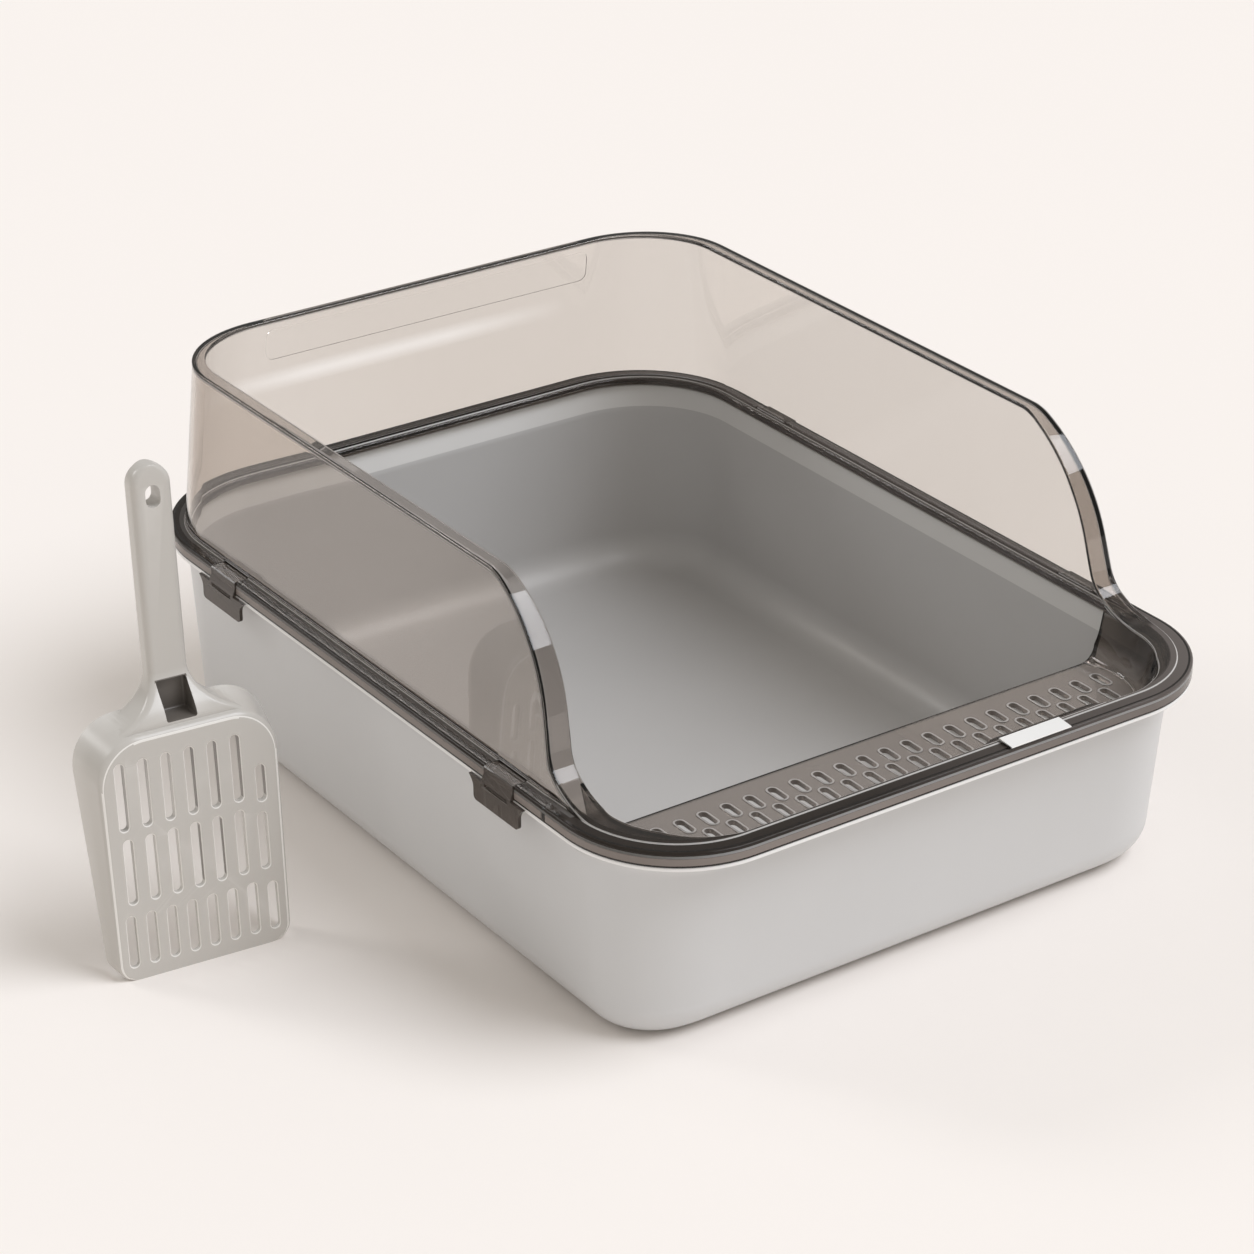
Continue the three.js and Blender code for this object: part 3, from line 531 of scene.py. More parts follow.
def collarRing():
    size = collar

    def section(place):
        dripTop = place.around(*size["dripInsets"])
        fade = min(size["dripFade"] * place.ny ** 2, 1) if place.ny > 0 else 0
        run = mix(size["dripRun"], size["ridgeRun"], fade)
        drop = size["dripHeight"]
        lean = run / drop
        breadth = size["dripThickness"] * math.hypot(1, lean)
        top = size["top"]
        under = top - size["plate"]
        small = size["smallRound"]
        return softened([
            (0, top - size["skirtHeight"], small),
            (0, top, size["edgeRound"]),
            (dripTop, top, size["dripRound"]),
            (dripTop + run, top - drop, small),
            (dripTop + run - breadth, top - drop, small),
            (dripTop + lean * size["plate"] - breadth, under, small),
            (size["skirtThickness"], under, small * 2),
            (size["skirtThickness"], top - size["skirtHeight"], small),
        ], 4)

    return carry("collarRing", section, roundStations(plainDistances), joined=True)


def wallRing():
    size = wall
    near = lambda distance: any(abs(distance - other[0]) < size["lipThickness"] / 2 for other in sweep)
    distances = [distance for distance in plainDistances if not near(distance)]
    distances = sorted(distances + [other[0] for other in sweep])

    def section(place):
        height, slope = crestAt(place.distance)
        width = lipWidthAt(place.distance)
        outer = wallInset(place, height)
        base = wallInset(place, collar["top"])
        thick = min(size["thickness"], width)
        tall = height - collar["top"]
        foot = size["footFillet"] * min(tall / size["fullFillet"], 1)
        floor = collar["top"] - collar["plate"] + size["foot"]
        sink = collar["top"] - size["foot"]
        lift = min(size["footFillet"] * 2, tall * size["footShare"])
        lipDepth, outerDepth, innerDepth = [
            min(size["lipThickness"] * share, tall * most) for share, most in size["lipDepths"]
        ]

        # Depth is measured square to the crest
        def under(inset, depth):
            return (inset, height - depth * math.cos(slope), depth * math.sin(slope))

        edge = min(size["lipRound"], width / 3, tall * size["edgeShare"])
        fillet = min(size["lipFillet"], (width - thick) / 2, tall * size["filletShare"])
        lip = [under(a, b) for a, b in softened([
            (outer, outerDepth, 0),
            (outer, 0, edge),
            (outer + width, 0, edge),
            (outer + width, lipDepth, edge * size["insideEdge"]),
            (outer + thick, lipDepth, max(fillet, size["leastFillet"])),
            (outer + thick, innerDepth, 0),
        ], 4)]
        outerFoot = (base, sink + lift, 0)
        innerFoot = (base + thick, sink + lift, 0)
        rise = lambda low, high: [
            tuple(mix(a, b, share) for a, b in zip(low, high)) for share in size["wallLoops"]
        ]
        return [
            (base - foot, floor, 0), (base - foot, sink, 0), outerFoot,
            *rise(outerFoot, lip[0]), *lip, *rise(innerFoot, lip[-1])[::-1],
            innerFoot, (base + thick + foot, sink, 0), (base + thick + foot, floor, 0),
        ]

    return carry("wallRing", section, roundStations(distances), joined=True)


def creaseInset(place):
    return place.around(step["creaseFront"], step["creaseSide"], step["creaseSide"])


def cheekStations():
    distances = [0, *[frontFlat + frontArc * share for share in cornerShares]]
    distances += [other[0] for other in sweep if other[0] > sideStart + 0.5]
    distances = sorted(distance for distance in distances if distance < cheekEnd - 0.5)
    distances.append(cheekEnd)
    right = [Station(distance, 1) for distance in distances[::-1]]
    left = [Station(distance, -1) for distance in distances[1:]]
    return right + left


def cheekStrip():
    size = step

    def section(place):
        crest, _ = crestAt(place.distance)
        top = wallInset(place, crest) + lipWidthAt(place.distance)
        crease = creaseInset(place)
        fillet = mix(size["creaseRadius"], size["endRadius"], ease(sideStart, cheekEnd, place.distance))
        facing = place.ny * place.ny
        deck = size["deckTop"]
        knee = mix(mix(top, crease, size["kneeShare"]), size["kneeFront"], facing)
        kneeTop = mix(mix(crest, deck, size["kneeShare"]), deck + size["kneeHeight"], facing)
        thick = size["cheekThickness"]
        floor = deck - size["deckThickness"]
        rounded = [
            (crease + fillet * (1 - c), deck + fillet * (1 - s), 0) for c, s in quarter(size["creaseSteps"])
        ]
        backKnee = mix(knee - thick, knee - thick * math.sqrt(2), facing)
        backTop = crest - mix(wall["lipThickness"], collar["plate"] + wall["bead"], facing)
        bend = size["kneeRound"]
        return softened([
            (top, crest - wall["lipRound"], 0),
            (knee, kneeTop, bend),
            *rounded,
            (crease + fillet, floor, 0),
            (crease + fillet / 2, floor, 0),
            (crease - thick, deck, 0),
            (backKnee, kneeTop - size["weld"] * facing, bend),
            (top - mix(thick, 0, facing), backTop, 0),
        ], 5)

    return carry("cheekStrip", section, cheekStations())


# The ridge's wider stretch beside the tab: a wedge on the sloping wall, easing in at both ends
def ridgePad():
    size = pad
    edge = wall["insets"][0] + wall["lipFront"]
    high = beadTop - wall["lipRound"]
    slope = (high - step["deckTop"] - step["kneeHeight"]) / (step["kneeFront"] - edge)
    top = collar["top"] + size["lift"]
    shares = spread(size["steps"])
    places = [(size["start"] + size["turn"] * share, share) for share in shares]
    places += [(size["end"] - size["turn"] * share, share) for share in shares[::-1]]
    rings = []
    for x, share in places:
        share = ease(0, 1, share)
        reach = edge + mix(-wall["lipRound"] / 2, size["reach"], share)
        foot = reach + mix(size["lift"], size["slopeRun"], share)
        section = softened([
            (edge - wall["lipRound"], collar["top"] - size["slopeRun"], 0),
            (edge - wall["lipRound"], top, 0),
            (reach, top, mix(0.1, size["round"], share)),
            (foot, high - slope * (foot - edge) - wall["lipRound"], 0),
        ], 4)
        rings.append([(x, inset - outline["depth"] / 2, height) for inset, height in section])
    return loft("ridgePad", rings)


# The cutter of the shallow panel in the back wall, leaning as the wall does
def panelCutter():
    size = panel
    lean = math.atan(wall["drafts"][2] / (wall["crest"] - collar["top"]))
    inset = wall["insets"][2] + wall["thickness"] + math.tan(lean) * (size["middle"] - collar["top"])
    flat = softened([
        (a * size["length"] / 2, b * size["height"] / 2, size["corner"])
        for a, b in ((1, 1), (-1, 1), (-1, -1), (1, -1))
    ], 8)
    cutter = prism("panelCutter", flat, -past, size["recess"], (0, 2, 1))
    spot = (size["centre"], outline["depth"] / 2 - inset, size["middle"])
    moveBy(cutter, spot, Matrix.Rotation(lean, 4, "X"))
    return cutter


def deckPlate():
    flat = []
    for place in cheekStations():
        x, y, _ = place.inboard(creaseInset(place) - step["weld"], 0)
        flat.append((x, y))
    return prism("deckPlate", flat, step["deckTop"] - step["deckThickness"], step["deckTop"])


# Geometry Nodes: small helpers, then the tree that sets out the holes of the step

def addNode(tree, kind, links=(), **values):
    node = tree.nodes.new(kind)
    for name, value in values.items():
        setattr(node, name, value)
    for target, source in links:
        if isinstance(source, bpy.types.NodeSocket):
            tree.links.new(source, node.inputs[target])
        else:
            node.inputs[target].default_value = source
    return node


# The first output of a new geometry node, and of a new shader node
def shaped(tree, kind, links=(), **values):
    return addNode(tree, "GeometryNode" + kind, links, **values).outputs[0]


def shaded(tree, kind, links=(), **values):
    return addNode(tree, "ShaderNode" + kind, links, **values).outputs[0]


def calculate(tree, operation, a, b=0.0):
    return shaded(tree, "Math", [(0, a), (1, b)], operation=operation)


# The tree's inputs are named as the values that will fill them: whole numbers are counts, others sizes
def newTree(name, values):
    tree = bpy.data.node_groups.new(name, "GeometryNodeTree")
    tree.is_modifier = True
    for way in ("INPUT", "OUTPUT"):
        tree.interface.new_socket("Geometry", in_out=way, socket_type="NodeSocketGeometry")
    for label, value in values.items():
        kind = "NodeSocketInt" if isinstance(value, int) else "NodeSocketFloat"
        tree.interface.new_socket(label, in_out="INPUT", socket_type=kind)
    return tree, tree.nodes.new("NodeGroupInput").outputs


def finishTree(tree, geometry, material):
    solid = shaped(tree, "RealizeInstances", [("Geometry", geometry)])
    done = shaped(tree, "SetMaterial", [("Geometry", solid), ("Material", material)])
    addNode(tree, "NodeGroupOutput", [("Geometry", done)])


# An oblong with round ends; the fillet stays just under half the width, so that its ends don't meet
def slotCurve(tree, width, length):
    bar = shaped(tree, "CurvePrimitiveQuadrilateral", [("Width", width), ("Height", length)])
    radius = calculate(tree, "MULTIPLY", width, 0.495)
    return shaped(tree, "FilletCurve", [("Curve", bar), ("Count", 5), ("Radius", radius)], mode="POLY")


# A closed bar of that outline, from the plane of the outline up to a height
def slotBar(tree, curve, height):
    face = shaped(tree, "FillCurve", [("Curve", curve)], mode="NGONS")
    raised = shaped(tree, "ExtrudeMesh", [("Mesh", face), ("Offset Scale", height), ("Individual", False)])
    foot = shaped(tree, "FlipFaces", [("Mesh", face)])
    both = addNode(tree, "GeometryNodeJoinGeometry", [("Geometry", foot)])
    tree.links.new(raised, both.inputs[0])
    return shaped(tree, "MergeByDistance", [("Geometry", both.outputs[0]), ("Distance", 0.00001)])


holes = dict(
    length=12.6,
    width=4.7,
    rim=1.1,
    rimHeight=0.5,
    rimRound=0.2,
    pitch=13.85,
    rowPitch=14.4,
    rows=3,
    backMargin=19.5,
    endMargin=8,
    cutDepth=12,
    mostAside=15,
)


def holeTree(name, material):
    tree, given = newTree(name, holeInputs(0, 0))
    reckon = partial(calculate, tree)
    most = holes["mostAside"]
    columns = 2 * most + 1
    line = lambda count: shaped(tree, "MeshLine", [("Count", count), ("Offset", (0, 0, 0))], mode="OFFSET")
    rows = line(given["Rows"])
    lines = shaped(tree, "InstanceOnPoints", [("Points", rows), ("Instance", line(columns))])
    points = shaped(tree, "RealizeInstances", [("Geometry", lines)])
    index = shaped(tree, "InputIndex")
    rowNumber = reckon("FLOOR", reckon("DIVIDE", index, columns))
    column = reckon("SUBTRACT", reckon("MODULO", index, columns), most)
    even = reckon("SUBTRACT", 1.0, reckon("MODULO", rowNumber, 2.0))
    shifted = reckon("ADD", column, reckon("MULTIPLY", even, 0.5))
    x = reckon("MULTIPLY", shifted, given["Pitch"])
    fall = reckon("MULTIPLY", rowNumber, given["Row Pitch"])
    y = reckon("SUBTRACT", given["First Row"], fall)

    # Beside the rounded corner there is less room for a row
    half = reckon("MULTIPLY", given["Length"], 0.5)
    below = reckon("SUBTRACT", given["Corner Start"], reckon("SUBTRACT", y, half))
    below = reckon("MAXIMUM", below, 0.0)
    reach = given["Corner Reach"]
    squares = [reckon("MULTIPLY", value, value) for value in (reach, below)]
    square = reckon("MAXIMUM", reckon("SUBTRACT", *squares), 0.0)
    pulledIn = reckon("SUBTRACT", reach, reckon("SQRT", square))
    room = reckon("SUBTRACT", given["Half Width"], pulledIn)
    outside = reckon("GREATER_THAN", reckon("ABSOLUTE", x), room)
    place = shaded(tree, "CombineXYZ", [("X", x), ("Y", y)])
    placed = shaped(tree, "SetPosition", [("Geometry", points), ("Position", place)])
    kept = shaped(tree, "StoreNamedAttribute", [
        ("Geometry", placed), ("Name", "outside"), ("Value", outside),
    ], data_type="FLOAT", domain="POINT")
    mark = shaped(tree, "InputNamedAttribute", [("Name", "outside")], data_type="FLOAT")
    kept = shaped(tree, "DeleteGeometry", [("Geometry", kept), ("Selection", mark)], domain="POINT")
    shape = slotBar(tree, slotCurve(tree, given["Width"], given["Length"]), given["Thickness"])
    finishTree(tree, shaped(tree, "InstanceOnPoints", [("Points", kept), ("Instance", shape)]), material)
    return tree


# A modifier that runs a tree with inputs given by name, turned into a plain mesh
def grow(name, tree, inputs, height=0.0):
    piece = newObject(name, [], [])
    work = piece.modifiers.new("grow", "NODES")
    work.node_group = tree
    sockets = {item.name: item.identifier for item in tree.interface.items_tree if item.in_out == "INPUT"}
    for label, value in inputs.items():
        work[sockets[label]] = value
    settle(piece)
    moveBy(piece, (0, 0, height))
    return piece


def holeInputs(extra, thickness):
    halfDepth = outline["depth"] / 2
    size = holes
    return {
        "Rows": size["rows"],
        "Pitch": size["pitch"] * mm,
        "Row Pitch": size["rowPitch"] * mm,
        "First Row": (step["reach"] - halfDepth - size["backMargin"]) * mm,
        "Half Width": (outline["width"] / 2 - step["creaseSide"] - size["endMargin"]) * mm,
        "Corner Start": (outline["frontRadius"] - halfDepth) * mm,
        "Corner Reach": (outline["frontRadius"] - step["creaseSide"]) * mm,
        "Length": (size["length"] + extra) * mm,
        "Width": (size["width"] + extra) * mm,
        "Thickness": thickness * mm,
    }


# Clips: where they sit, from the frame

clip = dict(
    topWidth=47,
    bottomWidth=39,
    drop=12.4,
    thickness=1.9,
    standOff=0.5,
    corner=2.5,
    flareHeight=6,
    flareSteps=8,
    knuckleWidth=25,
    knuckleProud=0.8,
    knuckleDepth=8.4,
    chamfer=0.5,
    axisInset=2.6,
    axisDrop=2.5,
    bossRadius=2.9,
    bossSteps=10,
    notchDepth=8.5,
    pinRadius=1.5,
    pinLength=2.5,
    pinGap=0.4,
    earLength=4,
    earDepth=4.2,
    earDrop=3.8,
    catchReach=2,
    catchThickness=2.3,
    catchWidth=30,
    slotLength=20,
    slotHeight=2.4,
    bevel=0.28,
)

clipBodies = dict(
    clip_front_left="clip_fl",
    clip_front_right="clip_fr",
    clip_back_left="clip_bl",
    clip_back_right="clip_br",
)


def clipPlace(node):
    low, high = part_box(node)
    return (1 if low[0] > 0 else -1), (low[1] + high[1]) / 2 / mm


def sideX(side, inset):
    return side * (outline["width"] / 2 - inset)


def rodAlongY(name, radius, length, x, y, z, sides=24):
    circle = arcPoints(x, z, radius, 0, 2 * math.pi, sides)[:-1]
    return prism(name, circle, y - length / 2, y + length / 2, (0, 2, 1))


# For each clip: two ears under the collar, a notch for the knuckle and a bore for the pins
def clipSeats():
    size = clip
    ears, notches, bores = [], [], []
    depth = size["earDepth"] + step["weld"]
    height = size["earDrop"] + size["axisDrop"]
    reach = size["knuckleWidth"] / 2 + outline["gap"] + size["earLength"] / 2
    earZ = collar["top"] - step["weld"] - height / 2
    width = size["notchDepth"] + past
    notch = (width, size["knuckleWidth"] + 2 * outline["gap"], collar["skirtHeight"] + 2 * past)
    boreLength = size["knuckleWidth"] + 2 * (size["pinLength"] + size["pinGap"])
    for node in clipBodies:
        side, y = clipPlace(node)
        x = sideX(side, collar["skirtThickness"] - step["weld"] + depth / 2)
        for end in (-1, 1):
            ears.append(block("ear", (depth, size["earLength"], height), (x, y + end * reach, earZ)))
        x = sideX(side, size["notchDepth"] - width / 2)
        notches.append(block("notch", notch, (x, y, collar["top"] - collar["skirtHeight"] / 2)))
        bores.append(rodAlongY("bore", size["pinRadius"] + size["pinGap"], boreLength,
                               sideX(side, size["axisInset"]), y, collar["top"] - size["axisDrop"]))
    return ears, notches, bores


tab = dict(
    length=38,
    depth=9.9,
    thickness=1.5,
    fall=0.9,
    overhang=0.6,
    corner=0.5,
    endRound=0.6,
    endSteps=5,
    prongSpacing=22,
    prongLength=4,
    prongWidth=1.8,
    prongInset=4,
    prongDrop=4.6,
    barb=0.6,
)


def tabCentre():
    low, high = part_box("front_tab")
    return (low[0] + high[0]) / 2 / mm


def prongPlaces():
    y = tab["prongInset"] - outline["depth"] / 2
    return [(tabCentre() + end * tab["prongSpacing"] / 2, y) for end in (-1, 1)]


def makeShield(material):
    shield = collarRing()
    ears, notches, bores = clipSeats()
    combine(shield, [wallRing(), cheekStrip(), ridgePad(), deckPlate(), *ears], "UNION")
    tree = holeTree("barsOfHoles", material)
    sink = step["weld"]
    rimInputs = holeInputs(2 * holes["rim"], holes["rimHeight"] + sink)
    rims = grow("holeRims", tree, rimInputs, step["deckTop"] - sink)
    combine(shield, [bevel(rims, holes["rimRound"], 3)], "UNION")
    depth = holes["cutDepth"]
    bars = grow("holeBars", tree, holeInputs(0, depth), step["deckTop"] - depth / 2)
    gap = outline["gap"]
    slit = (
        tab["prongLength"] + 2 * gap,
        tab["prongWidth"] + tab["barb"] + 2 * gap,
        collar["plate"] + 2 * past,
    )
    slits = [
        block("prongSlit", slit, (x, y + tab["barb"] / 2, collar["top"] - collar["plate"] / 2))
        for x, y in prongPlaces()
    ]
    combine(shield, [bars, *notches, *bores, *slits, panelCutter()], "DIFFERENCE")
    shield.name = "shieldBody"
    shield = smooth(shield, 30, 0.0008)  # a coarser merge closes a hole of the step
    layPlaces(shield.data)
    return shield


# Where a point lies: how far along the outline, and how far inward from it
def unroll(x, y):
    x = abs(x)
    halfWidth = outline["width"] / 2
    halfDepth = outline["depth"] / 2
    for radius, end, start, flat in (
        (outline["frontRadius"], -1, frontFlat, (x, halfDepth + y)),
        (outline["backRadius"], 1, sideEnd, (halfLength - x, halfDepth - y)),
    ):
        across = x - halfWidth + radius
        along = end * y - halfDepth + radius
        if along > 0 and across > 0:
            angle = math.atan2(across, along) if end < 0 else math.atan2(along, across)
            return start + radius * angle, radius - math.hypot(across, along)
        if along > 0:
            return flat
    return sideStart + y + halfDepth - outline["frontRadius"], halfWidth - x


# Marks each vertex with its inset, its depth under the crest and its distance from the lip's two edges
def layPlaces(mesh):
    places = []
    widths = []
    for vertex in mesh.vertices:
        x, y, z = vertex.co / mm
        distance, inset = unroll(x, y)
        place = Station(distance, 1)
        crest, slope = crestAt(distance)
        along = inset - wallInset(place, crest)
        places += [inset, (crest - z) * math.cos(slope), along]
        widths.append(lipWidthAt(distance) - along)
    mesh.attributes.new("lay", "FLOAT_VECTOR", "POINT").data.foreach_set("vector", places)
    mesh.attributes.new("layRest", "FLOAT", "POINT").data.foreach_set("value", widths)


# The bevel's own faces get the material of that slot
def bevel(piece, width, segments=3, angle=35, slot=0):
    while len(piece.data.materials) <= slot:
        piece.data.materials.append(None)
    soften = piece.modifiers.new("soften", "BEVEL")
    soften.width = width * mm
    soften.segments = segments
    soften.limit_method = "ANGLE"
    soften.angle_limit = math.radians(angle)
    soften.use_clamp_overlap = True
    soften.material = slot
    return settle(piece)


def clipPlate():
    size = clip
    top = size["topWidth"] / 2
    foot = size["bottomWidth"] / 2
    corner = size["corner"]
    half = [(top, 0)]
    for share in spread(size["flareSteps"])[1:]:
        half.append((mix(foot, top, (1 - share) ** 2), -size["flareHeight"] * share))
    for c, s in quarter(size["flareSteps"]):
        half.append((foot - corner * (1 - c), corner * (1 - s) - size["drop"]))
    return half + [(-a, b) for a, b in half[::-1]]


def knuckleOutline():
    size = clip
    front = -size["knuckleProud"]
    inner = size["knuckleDepth"] + front
    chamfer = size["chamfer"]
    boss = size["bossRadius"]
    skirt = collar["skirtHeight"] + outline["gap"]
    back = -size["standOff"]
    plateFoot = -skirt - size["slotHeight"] - size["thickness"]
    turn = quarter(size["bossSteps"])
    return [
        (front, -skirt / 2),
        (front, -chamfer),
        (chamfer + front, 0),
        (inner - chamfer, 0),
        (inner, -chamfer),
        (inner, -size["axisDrop"]),
        *[(size["axisInset"] + boss * c, -size["axisDrop"] - boss * s) for c, s in turn],
        (size["axisInset"] - boss / 2, -size["axisDrop"] - boss),
        (back - front, -skirt - back),
        (back, -skirt),
        (back, plateFoot),
        (back - size["thickness"], plateFoot),
        (back - size["thickness"], -skirt),
    ]


def makeClip(node):
    size = clip
    side, y = clipPlace(node)
    plateTop = collar["top"] - collar["skirtHeight"] - outline["gap"]
    low = size["standOff"]
    flat = [(a, b + plateTop) for a, b in clipPlate()]
    plate = prism(node.replace("_", "") + "Body", flat, low, low + size["thickness"], (1, 2, 0))
    section = [(-a, b + collar["top"]) for a, b in knuckleOutline()]
    half = size["knuckleWidth"] / 2
    knuckle = prism("knuckle", section, -half, half, (0, 2, 1))
    pins = rodAlongY("pins", size["pinRadius"], size["knuckleWidth"] + 2 * size["pinLength"],
                     -size["axisInset"], 0, collar["top"] - size["axisDrop"])
    catchTop = pan["rimUnderside"] - 1.5 * outline["gap"] - pan["rimUnderRise"]
    reach = size["catchReach"] + step["weld"]
    thick = size["catchThickness"]
    ledge = block("catch", (reach, size["catchWidth"], thick),
                  (low + step["weld"] - reach / 2, 0, catchTop - thick / 2))
    combine(plate, [knuckle, ledge], "UNION")
    slot = block("slot", (2 * past, size["slotLength"], size["slotHeight"]),
                 (low + past / 2, 0, plateTop - size["slotHeight"] / 2))
    combine(plate, [slot], "DIFFERENCE")
    # The bevel's faces take the second material: a dark outline painted as edge shade, with painted
    # highlights on its sharpest parts
    bevel(plate, size["bevel"], 2, 40, 1)
    combine(plate, [pins], "UNION")
    turn = Matrix.Rotation(math.pi if side < 0 else 0, 4, "Z")
    moveBy(plate, (side * outline["width"] / 2, y, 0), turn)
    return smooth(plate, 30)


def makeTab():
    size = tab
    seat = beadTop + outline["gap"]
    top = seat + size["thickness"]
    front = -outline["depth"] / 2 - size["overhang"]
    back = front + size["depth"]
    section = softened([
        (front, seat, 0),
        (front, top - size["fall"], size["corner"]),
        (back, top, size["corner"]),
        (back, seat, 0),
    ], 5)
    centre = tabCentre()
    half = size["length"] / 2
    rings = []
    turn = quarter(size["endSteps"])
    for side, steps in ((-1, turn), (1, turn[::-1])):
        for _, s in steps:
            x = centre + side * (half - size["endRound"] * (1 - s))
            draw = size["endRound"] * (1 - s) ** 2
            rings.append([
                (x, min(max(y, front + draw), back - draw), min(z, top - draw) if z > seat else z)
                for y, z in section
            ])
    cover = loft("tabBody", rings)
    prongs = []
    for x, y in prongPlaces():
        half = size["prongWidth"] / 2
        foot = collar["top"] - size["prongDrop"]
        barbTop = collar["top"] - collar["plate"] - outline["gap"]
        high = seat + size["thickness"] / 3
        flat = [
            (y - half, high),
            (y - half, foot),
            (y + half, foot),
            (y + half + size["barb"], (foot + barbTop) / 2),
            (y + half + size["barb"], barbTop),
            (y + half, barbTop),
            (y + half, high),
        ]
        reach = size["prongLength"] / 2
        prongs.append(prism("prong", flat, x - reach, x + reach, (1, 2, 0)))
    combine(cover, prongs, "UNION")
    return smooth(cover, 35)


# Scoop, drawn upright in its own frame and then leaned and turned to where it stands

scoop = dict(
    height=257.5,
    gap=60,
    forward=26.1,
    yaw=-5.3,
    lean=4.2,
    bladeHeight=128,
    topWidth=94,
    bottomWidth=92,
    topRadius=23,
    bottomRadius=9,
    wall=2.2,
    edgeRound=3,
    edgeSteps=8,
    hollowSteps=5,
    topDepth=26,
    mouthDepth=12,
    topFlare=5,
    mouthFlare=1.5,
    cornerSteps=14,
    neckTop=152,
    handleWidth=20.6,
    handleThickness=12,
    handleBack=28,
    handleSteps=24,
    handleCorner=3.5,
    handleCornerSteps=6,
    neckFront=4,
    holeWidth=7.6,
    holeLength=11.5,
    holeDrop=15.6,
    domeFall=1.5,
    domeSteps=14,
    pocketWidth=16,
    pocketDepth=15,
    pocketTopInset=4,
    pocketRound=1.2,
    channelWidth=14,
    channelDepth=8,
    channelBottomInset=12,
    channelTopInset=30,
    channelRound=2,
    slotWidth=5,
    slotEdge=0.45,
    slotCut=12,
    slack=0.1,
    softFacing=(-0.97, -0.02),
    handleFlares=[(0, 1), (0.22, 0.66), (0.4, 0.36), (0.62, 0.13), (0.82, 0.03), (1, 0)],
    handleBend=0.2,
    cornerMost=(0.6, 0.4),
    slotRows=[
        dict(rise=98.9, length=36, pitch=12.1, count=7, lastLength=20, lastDrop=11),
        dict(rise=58.7, length=35, pitch=11.8, count=7, lastLength=31, lastDrop=2),
        dict(rise=21.2, length=28, pitch=10.8, count=8, lastLength=26, lastDrop=1),
    ],
)


def bladeWidth(rise):
    return mix(scoop["bottomWidth"], scoop["topWidth"], rise / scoop["bladeHeight"]) / 2


def bladeRing(grow, depthShare, mouthDrop):
    size = scoop
    half = []
    corners = [
        (size["bottomRadius"], size["bottomRadius"], -math.pi / 2),
        (size["topRadius"], size["bladeHeight"] - size["topRadius"], 0),
    ]
    for radius, centreRise, start in corners:
        centre = bladeWidth(centreRise) - radius
        half += arcPoints(centre, centreRise, radius, start, math.pi / 2, size["cornerSteps"])
    ring = []
    for across, rise in half + [(-a, b) for a, b in half[::-1]]:
        level = rise / size["bladeHeight"]
        depth = mix(size["mouthDepth"], size["topDepth"], level) * depthShare
        flare = mix(size["mouthFlare"], size["topFlare"], level) * depthShare
        wide = (bladeWidth(rise) + flare + grow) / bladeWidth(rise)
        low = rise < size["bladeHeight"] / 2
        lift = -mouthDrop if low else grow + flare * level
        floorRise = depth * math.tan(math.radians(size["lean"])) if low else 0
        ring.append((across * wide, depth, rise + lift + floorRise))
    return ring


def bladeOuter():
    size = scoop
    edge = size["edgeRound"]
    turn = quarter(size["edgeSteps"])
    rings = [bladeRing(-edge * (1 - s), edge * (1 - c) / size["topDepth"], 0) for c, s in turn]
    return loft("scoopBody", [*rings, bladeRing(0, 0.5, 0), bladeRing(0, 1, 0)])


def bladeHollow():
    size = scoop
    faceShare = size["wall"] / size["mouthDepth"]
    reach = (size["topDepth"] + past) / size["topDepth"]
    drop = size["bottomRadius"]
    soft = size["edgeRound"] / 2
    turn = quarter(size["hollowSteps"])
    rings = [bladeRing(-size["wall"] - soft * (1 - s), faceShare * (2 - c), drop) for c, s in turn]
    return loft("hollow", [*rings, bladeRing(-size["wall"], reach, drop)])


def handleRing(rise, halfWidth, front, back):
    size = scoop
    wide, deep = size["cornerMost"]
    round = min(size["handleCorner"], halfWidth * wide, (back - front) * deep)
    centres = [
        (halfWidth - round, back - round),
        (round - halfWidth, back - round),
        (round - halfWidth, front + round),
        (halfWidth - round, front + round),
    ]
    ring = []
    for k, (x, y) in enumerate(centres):
        ring += arcPoints(x, y, round, math.pi / 2 * k, math.pi / 2, size["handleCornerSteps"])
    return [(x, y, rise) for x, y in ring]


def handleBody():
    size = scoop
    back = size["handleBack"]
    front = back - size["handleThickness"]
    half = size["handleWidth"] / 2
    base = size["bladeHeight"] - 2 * size["wall"]
    widest = size["topWidth"] / 2 - size["topRadius"] / 3 - half
    rings = [
        handleRing(
            mix(base, size["neckTop"], share),
            half + widest * smoothBetween(size["handleFlares"], share),
            mix(size["neckFront"], front, ease(size["handleBend"], 1, share)),
            mix(size["topDepth"], back, share),
        )
        for share in spread(size["handleSteps"])
    ]
    for c, s in quarter(size["domeSteps"])[:-1]:
        fall = size["domeFall"] * (1 - c)
        rings.append(handleRing(size["height"] - half + half * s, half * c, front + fall, back - fall))
    return loft("handle", rings)


# A smooth curve through stops, where between() would give straight lines
def smoothBetween(stops, value):
    spots = [stops[0]] + stops + [stops[-1]]
    for k in range(1, len(spots) - 2):
        low, high = spots[k], spots[k + 1]
        if value <= high[0] or k == len(spots) - 3:
            share = (value - low[0]) / (high[0] - low[0])
            before = (high[1] - spots[k - 1][1]) / max(high[0] - spots[k - 1][0], 0.001)
            after = (spots[k + 2][1] - low[1]) / max(spots[k + 2][0] - low[0], 0.001)
            width = high[0] - low[0]
            cube, square = share ** 3, share ** 2
            return (
                (2 * cube - 3 * square + 1) * low[1]
                + (cube - 2 * square + share) * width * before
                + (3 * square - 2 * cube) * high[1]
                + (cube - square) * width * after
            )


# A ring of round wire along the outline
def slotBead(tree, curve, radius):
    wire = shaped(tree, "CurvePrimitiveCircle", [("Resolution", 8), ("Radius", radius)])
    return shaped(tree, "CurveToMesh", [("Curve", curve), ("Profile Curve", wire)])


